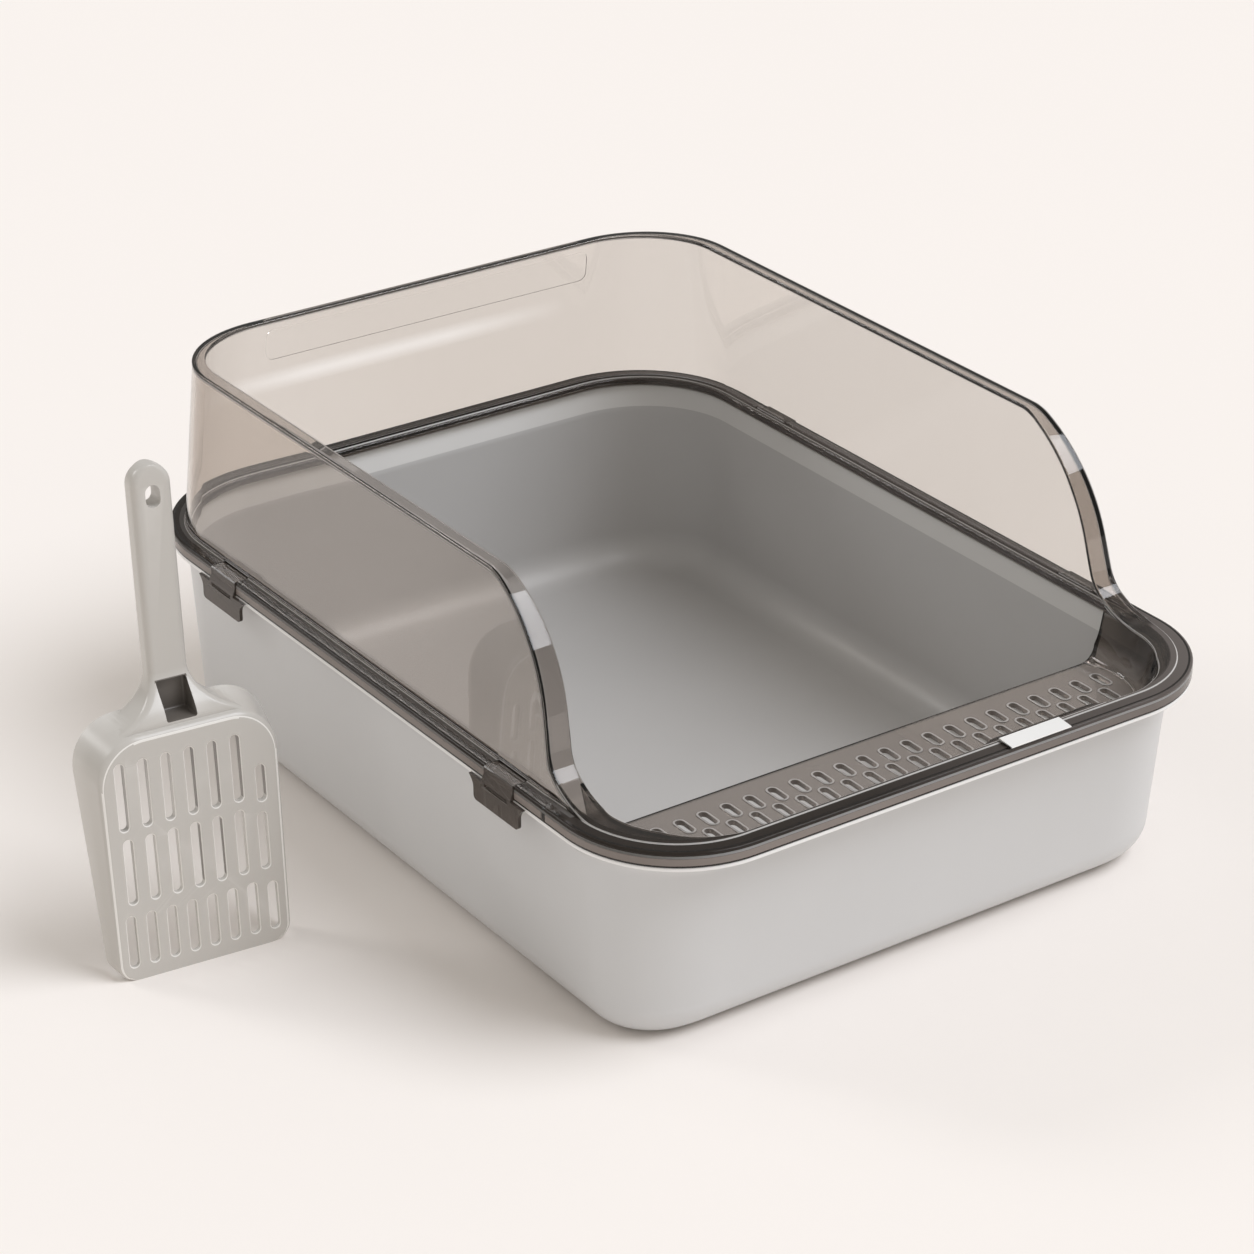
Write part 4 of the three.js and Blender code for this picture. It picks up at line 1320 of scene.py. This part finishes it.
# A row of equal bars or beads, the last one shorter
def slotRowTree(name, bead, material):
    tree, given = newTree(name, slotInputs(scoop["slotRows"][0], 0))
    reckon = partial(calculate, tree)
    line = lambda links: shaped(tree, "MeshLine", links, mode="OFFSET")
    most = reckon("SUBTRACT", given["Count"], 1.0)
    span = reckon("MULTIPLY", most, given["Pitch"])
    first = shaded(tree, "CombineXYZ", [("X", reckon("MULTIPLY", span, -0.5))])
    stride = shaded(tree, "CombineXYZ", [("X", given["Pitch"])])
    end = shaded(tree, "CombineXYZ", [
        ("X", reckon("MULTIPLY", span, 0.5)),
        ("Y", reckon("MULTIPLY", given["Last Drop"], -1.0)),
    ])
    row = line([("Count", most), ("Start Location", first), ("Offset", stride)])
    last = line([("Count", 1), ("Start Location", end)])
    both = addNode(tree, "GeometryNodeJoinGeometry")
    makeShape = slotBead if bead else slotBar
    for points, length in [(row, given["Length"]), (last, given["Last Length"])]:
        shape = makeShape(tree, slotCurve(tree, given["Width"], length), given["Thickness"])
        copies = shaped(tree, "InstanceOnPoints", [("Points", points), ("Instance", shape)])
        tree.links.new(copies, both.inputs[0])
    finishTree(tree, both.outputs[0], material)
    return tree


def slotInputs(row, thickness):
    return {
        "Count": row["count"],
        "Pitch": row["pitch"] * mm,
        "Length": row["length"] * mm,
        "Last Length": row["lastLength"] * mm,
        "Last Drop": row["lastDrop"] * mm,
        "Width": scoop["slotWidth"] * mm,
        "Thickness": thickness * mm,
    }


def slotCutters(tree, name, thickness, depth):
    stand = Matrix.Rotation(math.pi / 2, 4, "X")
    cutters = []
    for number, row in enumerate(scoop["slotRows"]):
        cutter = grow(name + str(number), tree, slotInputs(row, thickness))
        moveBy(cutter, (0, depth, row["rise"]), stand)
        cutters.append(cutter)
    return cutters


def slotOutline(width, length, steps):
    radius = width / 2
    reach = length / 2 - radius
    half = math.pi
    return arcPoints(0, reach, radius, 0, half, steps) + arcPoints(0, -reach, radius, half, half, steps)


# The look of a face before the scoop is leaned: 1, a darker copy of the grey that paints shade, on the inner
# sides of the basket and in the pocket of the neck; 2, a lighter copy that paints highlights, on the soft
# edges of the slots and of the blade's face; 0 elsewhere
def scoopPaintedLight(centre, normal):
    size = scoop
    slack = size["slack"]
    across, depth, rise = centre
    low, high = size["softFacing"]
    if depth < size["slotEdge"] + slack / 2 and low < normal.y < high:
        return 2
    if rise < size["bladeHeight"]:
        inward = normal.x * across + normal.z * (rise - size["bladeHeight"] / 2) < 0
        return int(depth > size["wall"] and inward and abs(normal.y) < 0.5)
    return int(
        abs(across) < size["pocketWidth"] / 2 + slack
        and rise < size["neckTop"] - size["pocketTopInset"] + slack
        and size["neckFront"] + 5 * slack < depth < size["neckFront"] + size["pocketDepth"] + 2 * slack
    )


def makeScoop(material):
    size = scoop
    body = combine(bladeOuter(), [handleBody()], "UNION")
    back = size["handleBack"]
    pocketTop = size["neckTop"] - size["pocketTopInset"]
    pocketHeight = pocketTop - size["bladeHeight"] - size["wall"]
    pocket = block(
        "pocket",
        (size["pocketWidth"], size["pocketDepth"] + past, pocketHeight),
        (0, size["neckFront"] + size["pocketDepth"] / 2 - past / 2, pocketTop - pocketHeight / 2),
    )
    rise = size["height"] - size["holeDrop"]
    flat = [(a, b + rise) for a, b in slotOutline(size["holeWidth"], size["holeLength"], 16)]
    hangHole = prism("hangHole", flat, back - size["handleThickness"] - past, back + past, (0, 2, 1))
    channelHeight = size["height"] - size["channelTopInset"] - size["neckTop"] - size["channelBottomInset"]
    channel = block(
        "channel",
        (size["channelWidth"], size["channelDepth"] + past, channelHeight),
        (0, back - size["channelDepth"] / 2 + past / 2,
         size["neckTop"] + size["channelBottomInset"] + channelHeight / 2),
    )
    bevel(pocket, size["pocketRound"], 4)
    bevel(channel, size["channelRound"], 4)
    bars = slotRowTree("barsOfSlots", False, material)
    edges = slotRowTree("edgesOfSlots", True, material)
    for cutters in (
        [bladeHollow(), pocket, hangHole, channel],
        slotCutters(bars, "slotBars", size["slotCut"], size["wall"] + past + 1),
        slotCutters(edges, "slotEdges", size["slotEdge"], 0),
    ):
        combine(body, cutters, "DIFFERENCE")
    # Painted shade inside and painted highlights on the soft edges, face by face
    picks = [scoopPaintedLight(face.center / mm, face.normal) for face in body.data.polygons]
    body.data.polygons.foreach_set("material_index", picks)
    lean = Matrix.Rotation(-math.radians(size["lean"]), 4, "X")
    turn = Matrix.Rotation(math.radians(size["yaw"]), 4, "Z")
    x = -outline["width"] / 2 - size["gap"] - size["topWidth"] / 2
    moveBy(body, (x, -size["forward"], 0), turn @ lean)
    return smooth(body)


# Materials. Their colours are linear, and colour() makes them so from screen values

far = 999  # millimetres, past everything

plastics = dict(
    panGrey=dict(
        base=(209, 209, 209), edge=(240, 239, 238), roughness=0.36, grain=1100, bump=0.02,
        # Painted highlight: the rim band lights the pan's rim line in the edges' colour
        rim=(108.4, 110.4),
    ),
    # Painted shade: a darker copy of the pan's grey for its inside, with painted highlight bands along its
    # top and at the floor round
    panInsideShaded=dict(
        base=(193, 191, 189), edge=(216, 214, 211), roughness=0.36, grain=1100, bump=0.02,
        rim=(101.5, 116), foot=(9, 12),
    ),
    scoopGrey=dict(base=(196, 192, 186), edge=(236, 233, 229), roughness=0.26, grain=1300, bump=0.015),
    # Painted highlight for the scoop's soft edges, and below it painted shade for the inside of the basket
    # and the pocket
    scoopRimHighlight=dict(base=(236, 233, 228), edge=(244, 242, 238), roughness=0.3, grain=1300, bump=0.015),
    scoopInsideShaded=dict(base=(106, 100, 94), edge=(200, 196, 190), roughness=0.34, grain=1300, bump=0.015),
    tabWhite=dict(base=(236, 235, 233), edge=(250, 250, 249), roughness=0.38, grain=1500, bump=0.01),
    # Painted shade and highlight for the clips' bevel faces: a dark outline whose sharp parts are painted
    # light
    clipEdgeShadeAndGlint=dict(base=(50, 46, 43), edge=(236, 232, 228), roughness=0.25, grain=1500, bump=0.01),
)

moulded = dict(
    ior=1.5,
    bumpStrength=0.12,
    toneSwing=0.025,
    roughSwing=0.12,
    footSoft=5,
    footShare=0.4,
)

smoke = dict(
    wallTint=(0.76, 0.725, 0.69, 1),
    # Painted shade: the walls past the left end take a darker tint
    leftShadeTint=(0.64, 0.58, 0.53, 1),
    wingTint=(0.47, 0.425, 0.39, 1),
    lipTint=(0.62, 0.58, 0.55, 1),
    # Painted reflection: a clear tint in a streak across the back wall
    reflectionTint=(1, 1, 1, 1),
    collarTint=(0.2, 0.17, 0.15, 1),
    skirtTint=(0.42, 0.36, 0.325, 1),
    deckTint=(0.55, 0.5, 0.465, 1),
    clipTint=(0.13, 0.11, 0.095, 1),
    # The colour of the painted dark lines, shade along the edges and in the gaps
    shadeLineTint=(0.012, 0.011, 0.01, 1),
    shadowTint=(0.52, 0.505, 0.49, 1),
    glint=(0.93, 0.9, 0.87, 1),
    # Colours of the dense share, painted shading that changes from left to right: the collar darker on the
    # left, the skirt lighter on the left
    deepLeftShading=(0.03, 0.024, 0.02, 1),
    deepRightShading=(0.13, 0.113, 0.105, 1),
    skirtLeftShading=(0.27, 0.235, 0.215, 1),
    skirtRightShading=(0.175, 0.155, 0.143, 1),
    deepClip=(0.12, 0.1, 0.088, 1),
    deepDeck=(0.32, 0.285, 0.26, 1),
    deepShare=0.9,
    deckShare=0.45,
    clipShare=0.5,
    glintShare=0.85,
    edgeShare=0.75,
    rimShare=0.36,
    roughness=0.004,
    ior=1.49,
    denseRoughness=0.2,
    denseSpecular=0.15,
    glintRoughness=0.4,
    toneSwing=0.015,
    roughSwing=0.2,
    grain={"Grain Size": 300, "Cloud Size": 9},
    clipGlintEdges={"Start": 0.6, "End": 0.7, "Break Up": 40},
)

# Zones of the shield, each where all its bands hold: what is measured, from, to, softness; millimetres
zones = dict(
    overBead=[("overTop", 1.4, far, 0.7)],
    overStep=[("overDeck", 8, far, 4)],
    # Where the left walls take their painted shade, and where the painted shading turns to the right side's
    # colours
    pastLeftWall=[("across", -155, far, 20)],
    rightSide=[("across", 60, far, 110)],
    highLip=[("height", 200, far, 8)],
    lip=[("overTop", 2.5, far, 1), ("depth", -9, 2.8, 0.25)],
    skirt=[("inset", -1, 0.3), ("overTop", -6.9, -3.2)],
    # Painted reflection: the streak across the back wall
    reflectionStreak=[("along", 150, far, 20), ("height", 171, 177, 4), ("across", -115, 60, 40)],
    collar=[("overTop", -9, 0.9, 0.3), ("inset", -1, 11.5, 0.5)],
    deck=[("overDeck", -3, 0.25, 0.1)],
    # Painted dark lines: shade at the lip's and the step's edges, in the gap under the skirt and on the
    # collar's top
    lipDark=[("overTop", 2.5, far, 1), ("edge", -far, 0.35), ("depth", 0.3, 1.5)],
    skirtDark=[("inset", -1, 0.5), ("overTop", -9, -7.1)],
    collarDark=[("inset", 1.4, 2.5), ("overTop", -0.4, 0.4)],
    stepDark=[
        ("pastStep", -1, far, 0.2), ("pastStep", -far, 2, 1), ("edge", -far, -0.8), ("height", 85, 123),
    ],
    # Painted highlights: bright lines on the lip, the skirt, the drip, the bead, the step's edge and the hole
    # rims
    lipBright=[("overTop", 2.5, far, 1), ("edge", -far, 0.35), ("depth", 1.7, 2.3)],
    skirtBright=[("inset", -1, 0.5), ("overTop", -3.1, -1.8)],
    dripBright=[("inset", 11, 17), ("overTop", -4.4, -3.8)],
    beadBright=[("inset", 5, 14), ("overTop", 0.1, 0.7), ("depth", 4, far)],
    stepBright=[("pastStep", -far, 2, 1), ("edge", -0.4, 0.15), ("depth", -1, 1.2)],
    rimsBright=[("overDeck", 0.4, 0.6, 0.05)],
)

paintedShadeLines = dict(lipDark=1, skirtDark=1, collarDark=1, stepDark=1)

paintedHighlightLines = dict(
    lipBright=1,
    skirtBright=smoke["edgeShare"],
    dripBright=1,
    beadBright=1,
    stepBright=1,
    rimsBright=smoke["rimShare"],
)


def clearTree(owner):
    owner.use_nodes = True
    owner.node_tree.nodes.clear()
    return owner.node_tree


def newMaterial(name):
    material = bpy.data.materials.new(name)
    return material, clearTree(material)


def finishMaterial(tree, shader):
    addNode(tree, "ShaderNodeOutputMaterial", [("Surface", shader)])


def colour(red, green, blue):
    linear = [((value / 255 + 0.055) / 1.055) ** 2.4 if value > 10 else value / 255 / 12.92
              for value in (red, green, blue)]
    return (*linear, 1)


# The object's own coordinates, and their parts in millimetres
def objectPlace(tree):
    return addNode(tree, "ShaderNodeTexCoord").outputs["Object"]


def objectParts(tree):
    parts = addNode(tree, "ShaderNodeSeparateXYZ", [("Vector", objectPlace(tree))]).outputs
    return [calculate(tree, "DIVIDE", part, mm) for part in parts]


def mapRange(tree, value, low, high, start=0.0, end=1.0):
    return shaded(tree, "MapRange", [
        ("Value", value), ("From Min", start), ("From Max", end), ("To Min", low), ("To Max", high),
    ])


def scaled(tree, vector, factor):
    return shaded(tree, "VectorMath", [(0, vector), ("Scale", factor)], operation="SCALE")


# A value that a noise moves down and up by a share
def uneven(tree, noise, value, swing):
    return mapRange(tree, noise, value * (1 - swing), value * (1 + swing))


# Sockets 6 and 7 and output 2 are the colours of the mix node
def mixColour(tree, factor, a, b):
    node = addNode(tree, "ShaderNodeMix", [(0, factor), (6, a), (7, b)], data_type="RGBA")
    return node.outputs[2]


def reverse(tree, mask):
    return calculate(tree, "SUBTRACT", 1.0, mask)


def newGroup(name, inputs, outputs):
    tree = bpy.data.node_groups.new(name, "ShaderNodeTree")
    for label, value in inputs.items():
        tree.interface.new_socket(label, in_out="INPUT", socket_type="NodeSocketFloat").default_value = value
    for label in outputs:
        tree.interface.new_socket(label, in_out="OUTPUT", socket_type="NodeSocketFloat")
    return tree, tree.nodes.new("NodeGroupInput").outputs


def useGroup(tree, group, **values):
    node = tree.nodes.new("ShaderNodeGroup")
    node.node_tree = group
    for name, value in values.items():
        node.inputs[name].default_value = value
    return node


# Fine grain of a moulded surface: a height and a change of roughness
def grainGroup():
    tree, given = newGroup("mouldGrain", {"Grain Size": 900, "Cloud Size": 14}, ["Height", "Cloud"])
    where = objectPlace(tree)
    noise = lambda label, detail, rough: shaded(tree, "TexNoise", [
        ("Vector", where), ("Scale", given[label]), ("Detail", detail), ("Roughness", rough),
    ])
    height, cloud = noise("Grain Size", 3.0, 0.6), noise("Cloud Size", 2.0, 0.5)
    addNode(tree, "NodeGroupOutput", [("Height", height), ("Cloud", cloud)])
    return tree


# Sharp edges: a mask that is 1 where the surface turns sharply outwards, broken up by noise; it marks worn
# edges on the moulded pieces and painted highlights on the clips
def edgeGroup():
    tree, given = newGroup("edgeWearAndGlint", {"Start": 0.52, "End": 0.62, "Break Up": 60}, ["Mask"])
    sharp = addNode(tree, "ShaderNodeNewGeometry").outputs["Pointiness"]
    noise = shaded(tree, "TexNoise", [
        ("Vector", objectPlace(tree)), ("Scale", given["Break Up"]), ("Detail", 3.0),
    ])
    edge = mapRange(tree, sharp, 0.0, 1.0, given["Start"], given["End"])
    addNode(tree, "NodeGroupOutput", [("Mask", calculate(tree, "MULTIPLY", edge, noise))])
    return tree


# A mask that is 1 between two values, with soft ends
def bandGroup():
    tree, given = newGroup("softBand", dict.fromkeys(["Value", "Low", "High", "Soft"], 0), ["Mask"])
    ends = []
    for label, first, last in (("Low", 0.0, 1.0), ("High", 1.0, 0.0)):
        start, end = [calculate(tree, way, given[label], given["Soft"]) for way in ("SUBTRACT", "ADD")]
        ends.append(mapRange(tree, given["Value"], first, last, start, end))
    addNode(tree, "NodeGroupOutput", [("Mask", calculate(tree, "MULTIPLY", *ends))])
    return tree


mouldGrain = grainGroup()
edgeWearAndGlint = edgeGroup()
softBand = bandGroup()


def band(tree, value, low, high, soft=0.12):
    node = useGroup(tree, softBand, Low=low, High=high, Soft=soft)
    tree.links.new(value, node.inputs["Value"])
    return node.outputs["Mask"]


# Opaque moulded plastic with grain, slightly brighter edges and uneven gloss: worn edges on most pieces,
# painted highlights on the clips' bevel faces. Its rim and its foot are bands of height painted in the colour
# of the edges, as painted highlights
def mouldedPlastic(name, base, edge, roughness, grain, bump, rim=None, foot=None):
    material, tree = newMaterial(name)
    detail = useGroup(tree, mouldGrain, **{"Grain Size": grain}).outputs
    # The sharp-edge mask brightens worn edges, and paints highlights on the clips' bevel faces
    worn = useGroup(tree, edgeWearAndGlint).outputs["Mask"]
    body = mixColour(tree, worn, colour(*base), colour(*edge))
    # Painted highlights: bands of height lightened towards the edges' colour, the foot band only by a share
    if rim:
        height = objectParts(tree)[2]
        mask = band(tree, height, *rim)
        if foot:
            lower = band(tree, height, *foot, moulded["footSoft"])
            lower = calculate(tree, "MULTIPLY", lower, moulded["footShare"])
            mask = calculate(tree, "MAXIMUM", mask, lower)
        body = mixColour(tree, mask, body, colour(*edge))
    normal = shaded(tree, "Bump", [
        ("Height", detail["Height"]), ("Strength", moulded["bumpStrength"]), ("Distance", bump * mm),
    ])
    finishMaterial(tree, shaded(tree, "BsdfPrincipled", [
        ("Base Color", scaled(tree, body, uneven(tree, detail["Cloud"], 1, moulded["toneSwing"]))),
        ("Roughness", uneven(tree, detail["Cloud"], roughness, moulded["roughSwing"])),
        ("Normal", normal),
        ("IOR", moulded["ior"]),
    ]))
    return material


# Tint of the shield by zone, with dark lines painted along its edges as shade and bright lines painted as
# highlights, and its dense share, an opaque mix that stands for the thick collar and paints the shade seen
# through it, darker on the left side
def shieldZones(tree):
    reckon = partial(calculate, tree)
    mixed = partial(mixColour, tree)
    lay = addNode(tree, "ShaderNodeAttribute", attribute_name="lay")
    inset, depth, first = addNode(tree, "ShaderNodeSeparateXYZ", [("Vector", lay.outputs["Vector"])]).outputs
    rest = addNode(tree, "ShaderNodeAttribute", attribute_name="layRest").outputs["Fac"]
    across, along, height = objectParts(tree)
    measures = dict(
        inset=(inset, 0),
        depth=(depth, 0),
        edge=(reckon("MINIMUM", first, rest), 0),
        across=(across, 0),
        along=(along, 0),
        height=(height, 0),
        overTop=(height, collar["top"]),
        overDeck=(height, step["deckTop"]),
        pastStep=(along, step["reach"] - outline["depth"] / 2),
    )

    def zone(name):
        whole = 1.0
        for measure, low, high, *soft in zones[name]:
            value, start = measures[measure]
            whole = reckon("MULTIPLY", whole, band(tree, value, start + low, start + high, *soft))
        return whole

    def linesOf(shares):
        line = 0.0
        for name, share in shares.items():
            line = reckon("MAXIMUM", line, reckon("MULTIPLY", zone(name), share))
        return line

    lipTint = mixed(zone("highLip"), smoke["wingTint"], smoke["lipTint"])
    clear = mixed(zone("pastLeftWall"), smoke["leftShadeTint"], smoke["wallTint"])
    clear = mixed(zone("lip"), clear, lipTint)
    base = mixed(reverse(tree, zone("overStep")), smoke["collarTint"], smoke["deckTint"])
    tint = mixed(reverse(tree, zone("overBead")), clear, base)
    skirt = zone("skirt")
    tint = mixed(skirt, tint, smoke["skirtTint"])
    tint = mixed(zone("reflectionStreak"), tint, smoke["reflectionTint"])
    # Painted shade: dark lines along the edges and in the gaps
    dark = linesOf(paintedShadeLines)
    bare = reverse(tree, dark)
    plate = reckon("MULTIPLY", zone("deck"), bare)
    # Painted shading: the dense share's colours change from the left side to the right
    side = zone("rightSide")
    body = mixed(side, smoke["deepLeftShading"], smoke["deepRightShading"])
    body = mixed(skirt, body, mixed(side, smoke["skirtLeftShading"], smoke["skirtRightShading"]))
    body = mixed(plate, body, smoke["deepDeck"])
    deep = reckon("MULTIPLY", zone("collar"), bare)
    dense = reckon("MULTIPLY", deep, smoke["deepShare"])
    share = reckon("MAXIMUM", dense, reckon("MULTIPLY", plate, smoke["deckShare"]))
    return mixed(dark, tint, smoke["shadeLineTint"]), linesOf(paintedHighlightLines), share, body


# Clear smoked plastic: light passes straight through for the shadows, and bright lines are painted
# highlights, an opaque light shader with its normal turned up, so that it is lit as if it faced the sky
def smokePlastic(name, zoned):
    material, tree = newMaterial(name)
    cloud = useGroup(tree, mouldGrain, **smoke["grain"]).outputs["Cloud"]
    if zoned:
        tint, glint, deep, body = shieldZones(tree)
    else:
        tint, deep, body = smoke["clipTint"][:3], smoke["clipShare"], smoke["deepClip"]
        # On the clips the sharp-edge mask places painted highlights
        glint = useGroup(tree, edgeWearAndGlint, **smoke["clipGlintEdges"]).outputs["Mask"]
    seen = shaded(tree, "BsdfPrincipled", [
        ("Base Color", scaled(tree, tint, uneven(tree, cloud, 1, smoke["toneSwing"]))),
        ("Roughness", uneven(tree, cloud, smoke["roughness"], smoke["roughSwing"])),
        ("Transmission Weight", 1.0),
        ("IOR", smoke["ior"]),
    ])
    # The dense share: an opaque shader for the thick plastic; on the collar it also paints the shade seen
    # through it
    dense = shaded(tree, "BsdfPrincipled", [
        ("Base Color", body),
        ("Roughness", smoke["denseRoughness"]),
        ("Specular IOR Level", smoke["denseSpecular"]),
    ])
    # Painted highlights: an opaque light shader whose normal points up, lit as if it faced the sky
    up = shaded(tree, "CombineXYZ", [("Z", 1.0)])
    paintedGlint = shaded(tree, "BsdfPrincipled", [
        ("Base Color", smoke["glint"]), ("Roughness", smoke["glintRoughness"]), ("Normal", up),
    ])
    through = shaded(tree, "BsdfTransparent", [("Color", smoke["shadowTint"])])
    path = addNode(tree, "ShaderNodeLightPath").outputs
    straight = calculate(tree, "MAXIMUM", path["Is Shadow Ray"], path["Is Diffuse Ray"])
    lit = calculate(tree, "MULTIPLY", glint, smoke["glintShare"])
    for share, other in ((deep, dense), (lit, paintedGlint), (straight, through)):
        seen = shaded(tree, "MixShader", [(0, share), (1, seen), (2, other)])
    finishMaterial(tree, seen)
    return material


solid = {name: mouldedPlastic(name, **look) for name, look in plastics.items()}
smokeShield = smokePlastic("smokeShield", True)
smokeClip = smokePlastic("smokeClip", False)
print("materials made")

dress(makePan(), "pan", "pan_grey", [solid["panGrey"], solid["panInsideShaded"]], "litter_pan")
dress(makeShield(smokeShield), "shield", "smoke_clear", [smokeShield], "surround_shield")
for node, body in clipBodies.items():
    dress(makeClip(node), body, "smoke_clip", [smokeClip, solid["clipEdgeShadeAndGlint"]], node)
dress(makeTab(), "shield", "tab_white", [solid["tabWhite"]], "front_tab")
scoopLooks = [solid[name] for name in ("scoopGrey", "scoopInsideShaded", "scoopRimHighlight")]
dress(makeScoop(scoopLooks[0]), "scoop", "scoop_grey", scoopLooks, "litter_scoop")


# Floor, lights and camera

studio = dict(
    floorSize=9,
    floorGrain=3.0,
    floorSwing=0.005,
    floorRoughness=0.9,
    floorSpecular=0.1,
    floorColour=colour(245, 239, 234),
    backdropColour=colour(249, 242, 237),
    airColour=(0.955, 0.923, 0.878, 1),
    airStrength=0.56,
    glossStrength=0.35,
    roomStrength=0.2,
    roomTurn=(-0.1, 0.3),
    sunStrength=1.75,
    sunColour=(0.985, 1.02, 1.085),
    sunAngle=38,
    sunFrom=(0.75, -0.78, 1.48),
    backStrength=0.45,
    backColour=(1, 1, 1),
    backAngle=16,
    backFrom=(-0.45, 0.73, 0.51),
)

cameraSetup = dict(
    azimuth=-34.92,
    elevation=26.94,
    distance=1.9627,
    target=(-0.01626, 0.00577, 0.0920),
    lens=106.4,
    sensorWidth=36,
)


def makeFloor():
    material, tree = newMaterial("floorPaint")
    noise = shaded(tree, "TexNoise", [("Vector", objectPlace(tree)), ("Scale", studio["floorGrain"])])
    paint = scaled(tree, studio["floorColour"][:3], uneven(tree, noise, 1, studio["floorSwing"]))
    finishMaterial(tree, shaded(tree, "BsdfPrincipled", [
        ("Base Color", paint),
        ("Roughness", studio["floorRoughness"]),
        ("Specular IOR Level", studio["floorSpecular"]),
    ]))
    half = studio["floorSize"] / 2
    points = [(-half, -half, 0), (half, -half, 0), (half, half, 0), (-half, half, 0)]
    mesh = bpy.data.meshes.new("studioFloor")
    mesh.from_pydata(points, [], [(0, 1, 2, 3)])
    mesh.materials.append(material)
    floor = addObject("studioFloor", mesh)


# The way from the target back to the camera
def cameraBack():
    turn = math.radians(cameraSetup["azimuth"])
    rise = math.radians(cameraSetup["elevation"])
    return Vector((math.sin(turn) * math.cos(rise), -math.cos(turn) * math.cos(rise), math.sin(rise)))


# Even air for the shading; what the clear pieces show is white behind them and a dim room before them
def makeWorld():
    world = bpy.data.worlds.new("studioAir")
    tree = clearTree(world)
    path = addNode(tree, "ShaderNodeLightPath").outputs
    through = path["Is Transmission Ray"]
    seen = calculate(tree, "MAXIMUM", path["Is Camera Ray"], through)
    air = mapRange(tree, path["Is Glossy Ray"], studio["airStrength"], studio["glossStrength"])
    where = addNode(tree, "ShaderNodeTexCoord").outputs["Generated"]
    facing = addNode(tree, "ShaderNodeVectorMath",
                     [(0, where), (1, -cameraBack())], operation="DOT_PRODUCT").outputs["Value"]
    room = mapRange(tree, facing, studio["roomStrength"], 1.0, *studio["roomTurn"])
    dim = mapRange(tree, through, 1.0, room)
    strength = calculate(tree, "MULTIPLY", mapRange(tree, seen, air, 1.0), dim)
    tone = mixColour(tree, seen, studio["airColour"], studio["backdropColour"])
    sky = shaded(tree, "Background", [("Color", tone), ("Strength", strength)])
    addNode(tree, "ShaderNodeOutputWorld", [("Surface", sky)])
    bpy.context.scene.world = world


def makeLights():
    for name, kind in (("softSun", "sun"), ("backSun", "back")):
        data = bpy.data.lights.new(name, "SUN")
        data.energy = studio[kind + "Strength"]
        data.color = studio[kind + "Colour"]
        data.angle = math.radians(studio[kind + "Angle"])
        sun = addObject(name, data)
        sun.rotation_mode = "QUATERNION"
        sun.rotation_quaternion = Vector(studio[kind + "From"]).to_track_quat("Z", "Y")


def makeCamera():
    setup = cameraSetup
    back = cameraBack()
    data = bpy.data.cameras.new("photoCamera")
    data.lens = setup["lens"]
    data.sensor_width = setup["sensorWidth"]
    data.sensor_fit = "HORIZONTAL"
    camera = addObject("photoCamera", data)
    camera.location = Vector(setup["target"]) + back * setup["distance"]
    camera.rotation_mode = "QUATERNION"
    camera.rotation_quaternion = back.to_track_quat("Z", "Y")
    bpy.context.scene.camera = camera


makeFloor()
makeWorld()
makeLights()
makeCamera()
bpy.context.scene.view_settings.view_transform = "Standard"
print("studio made")
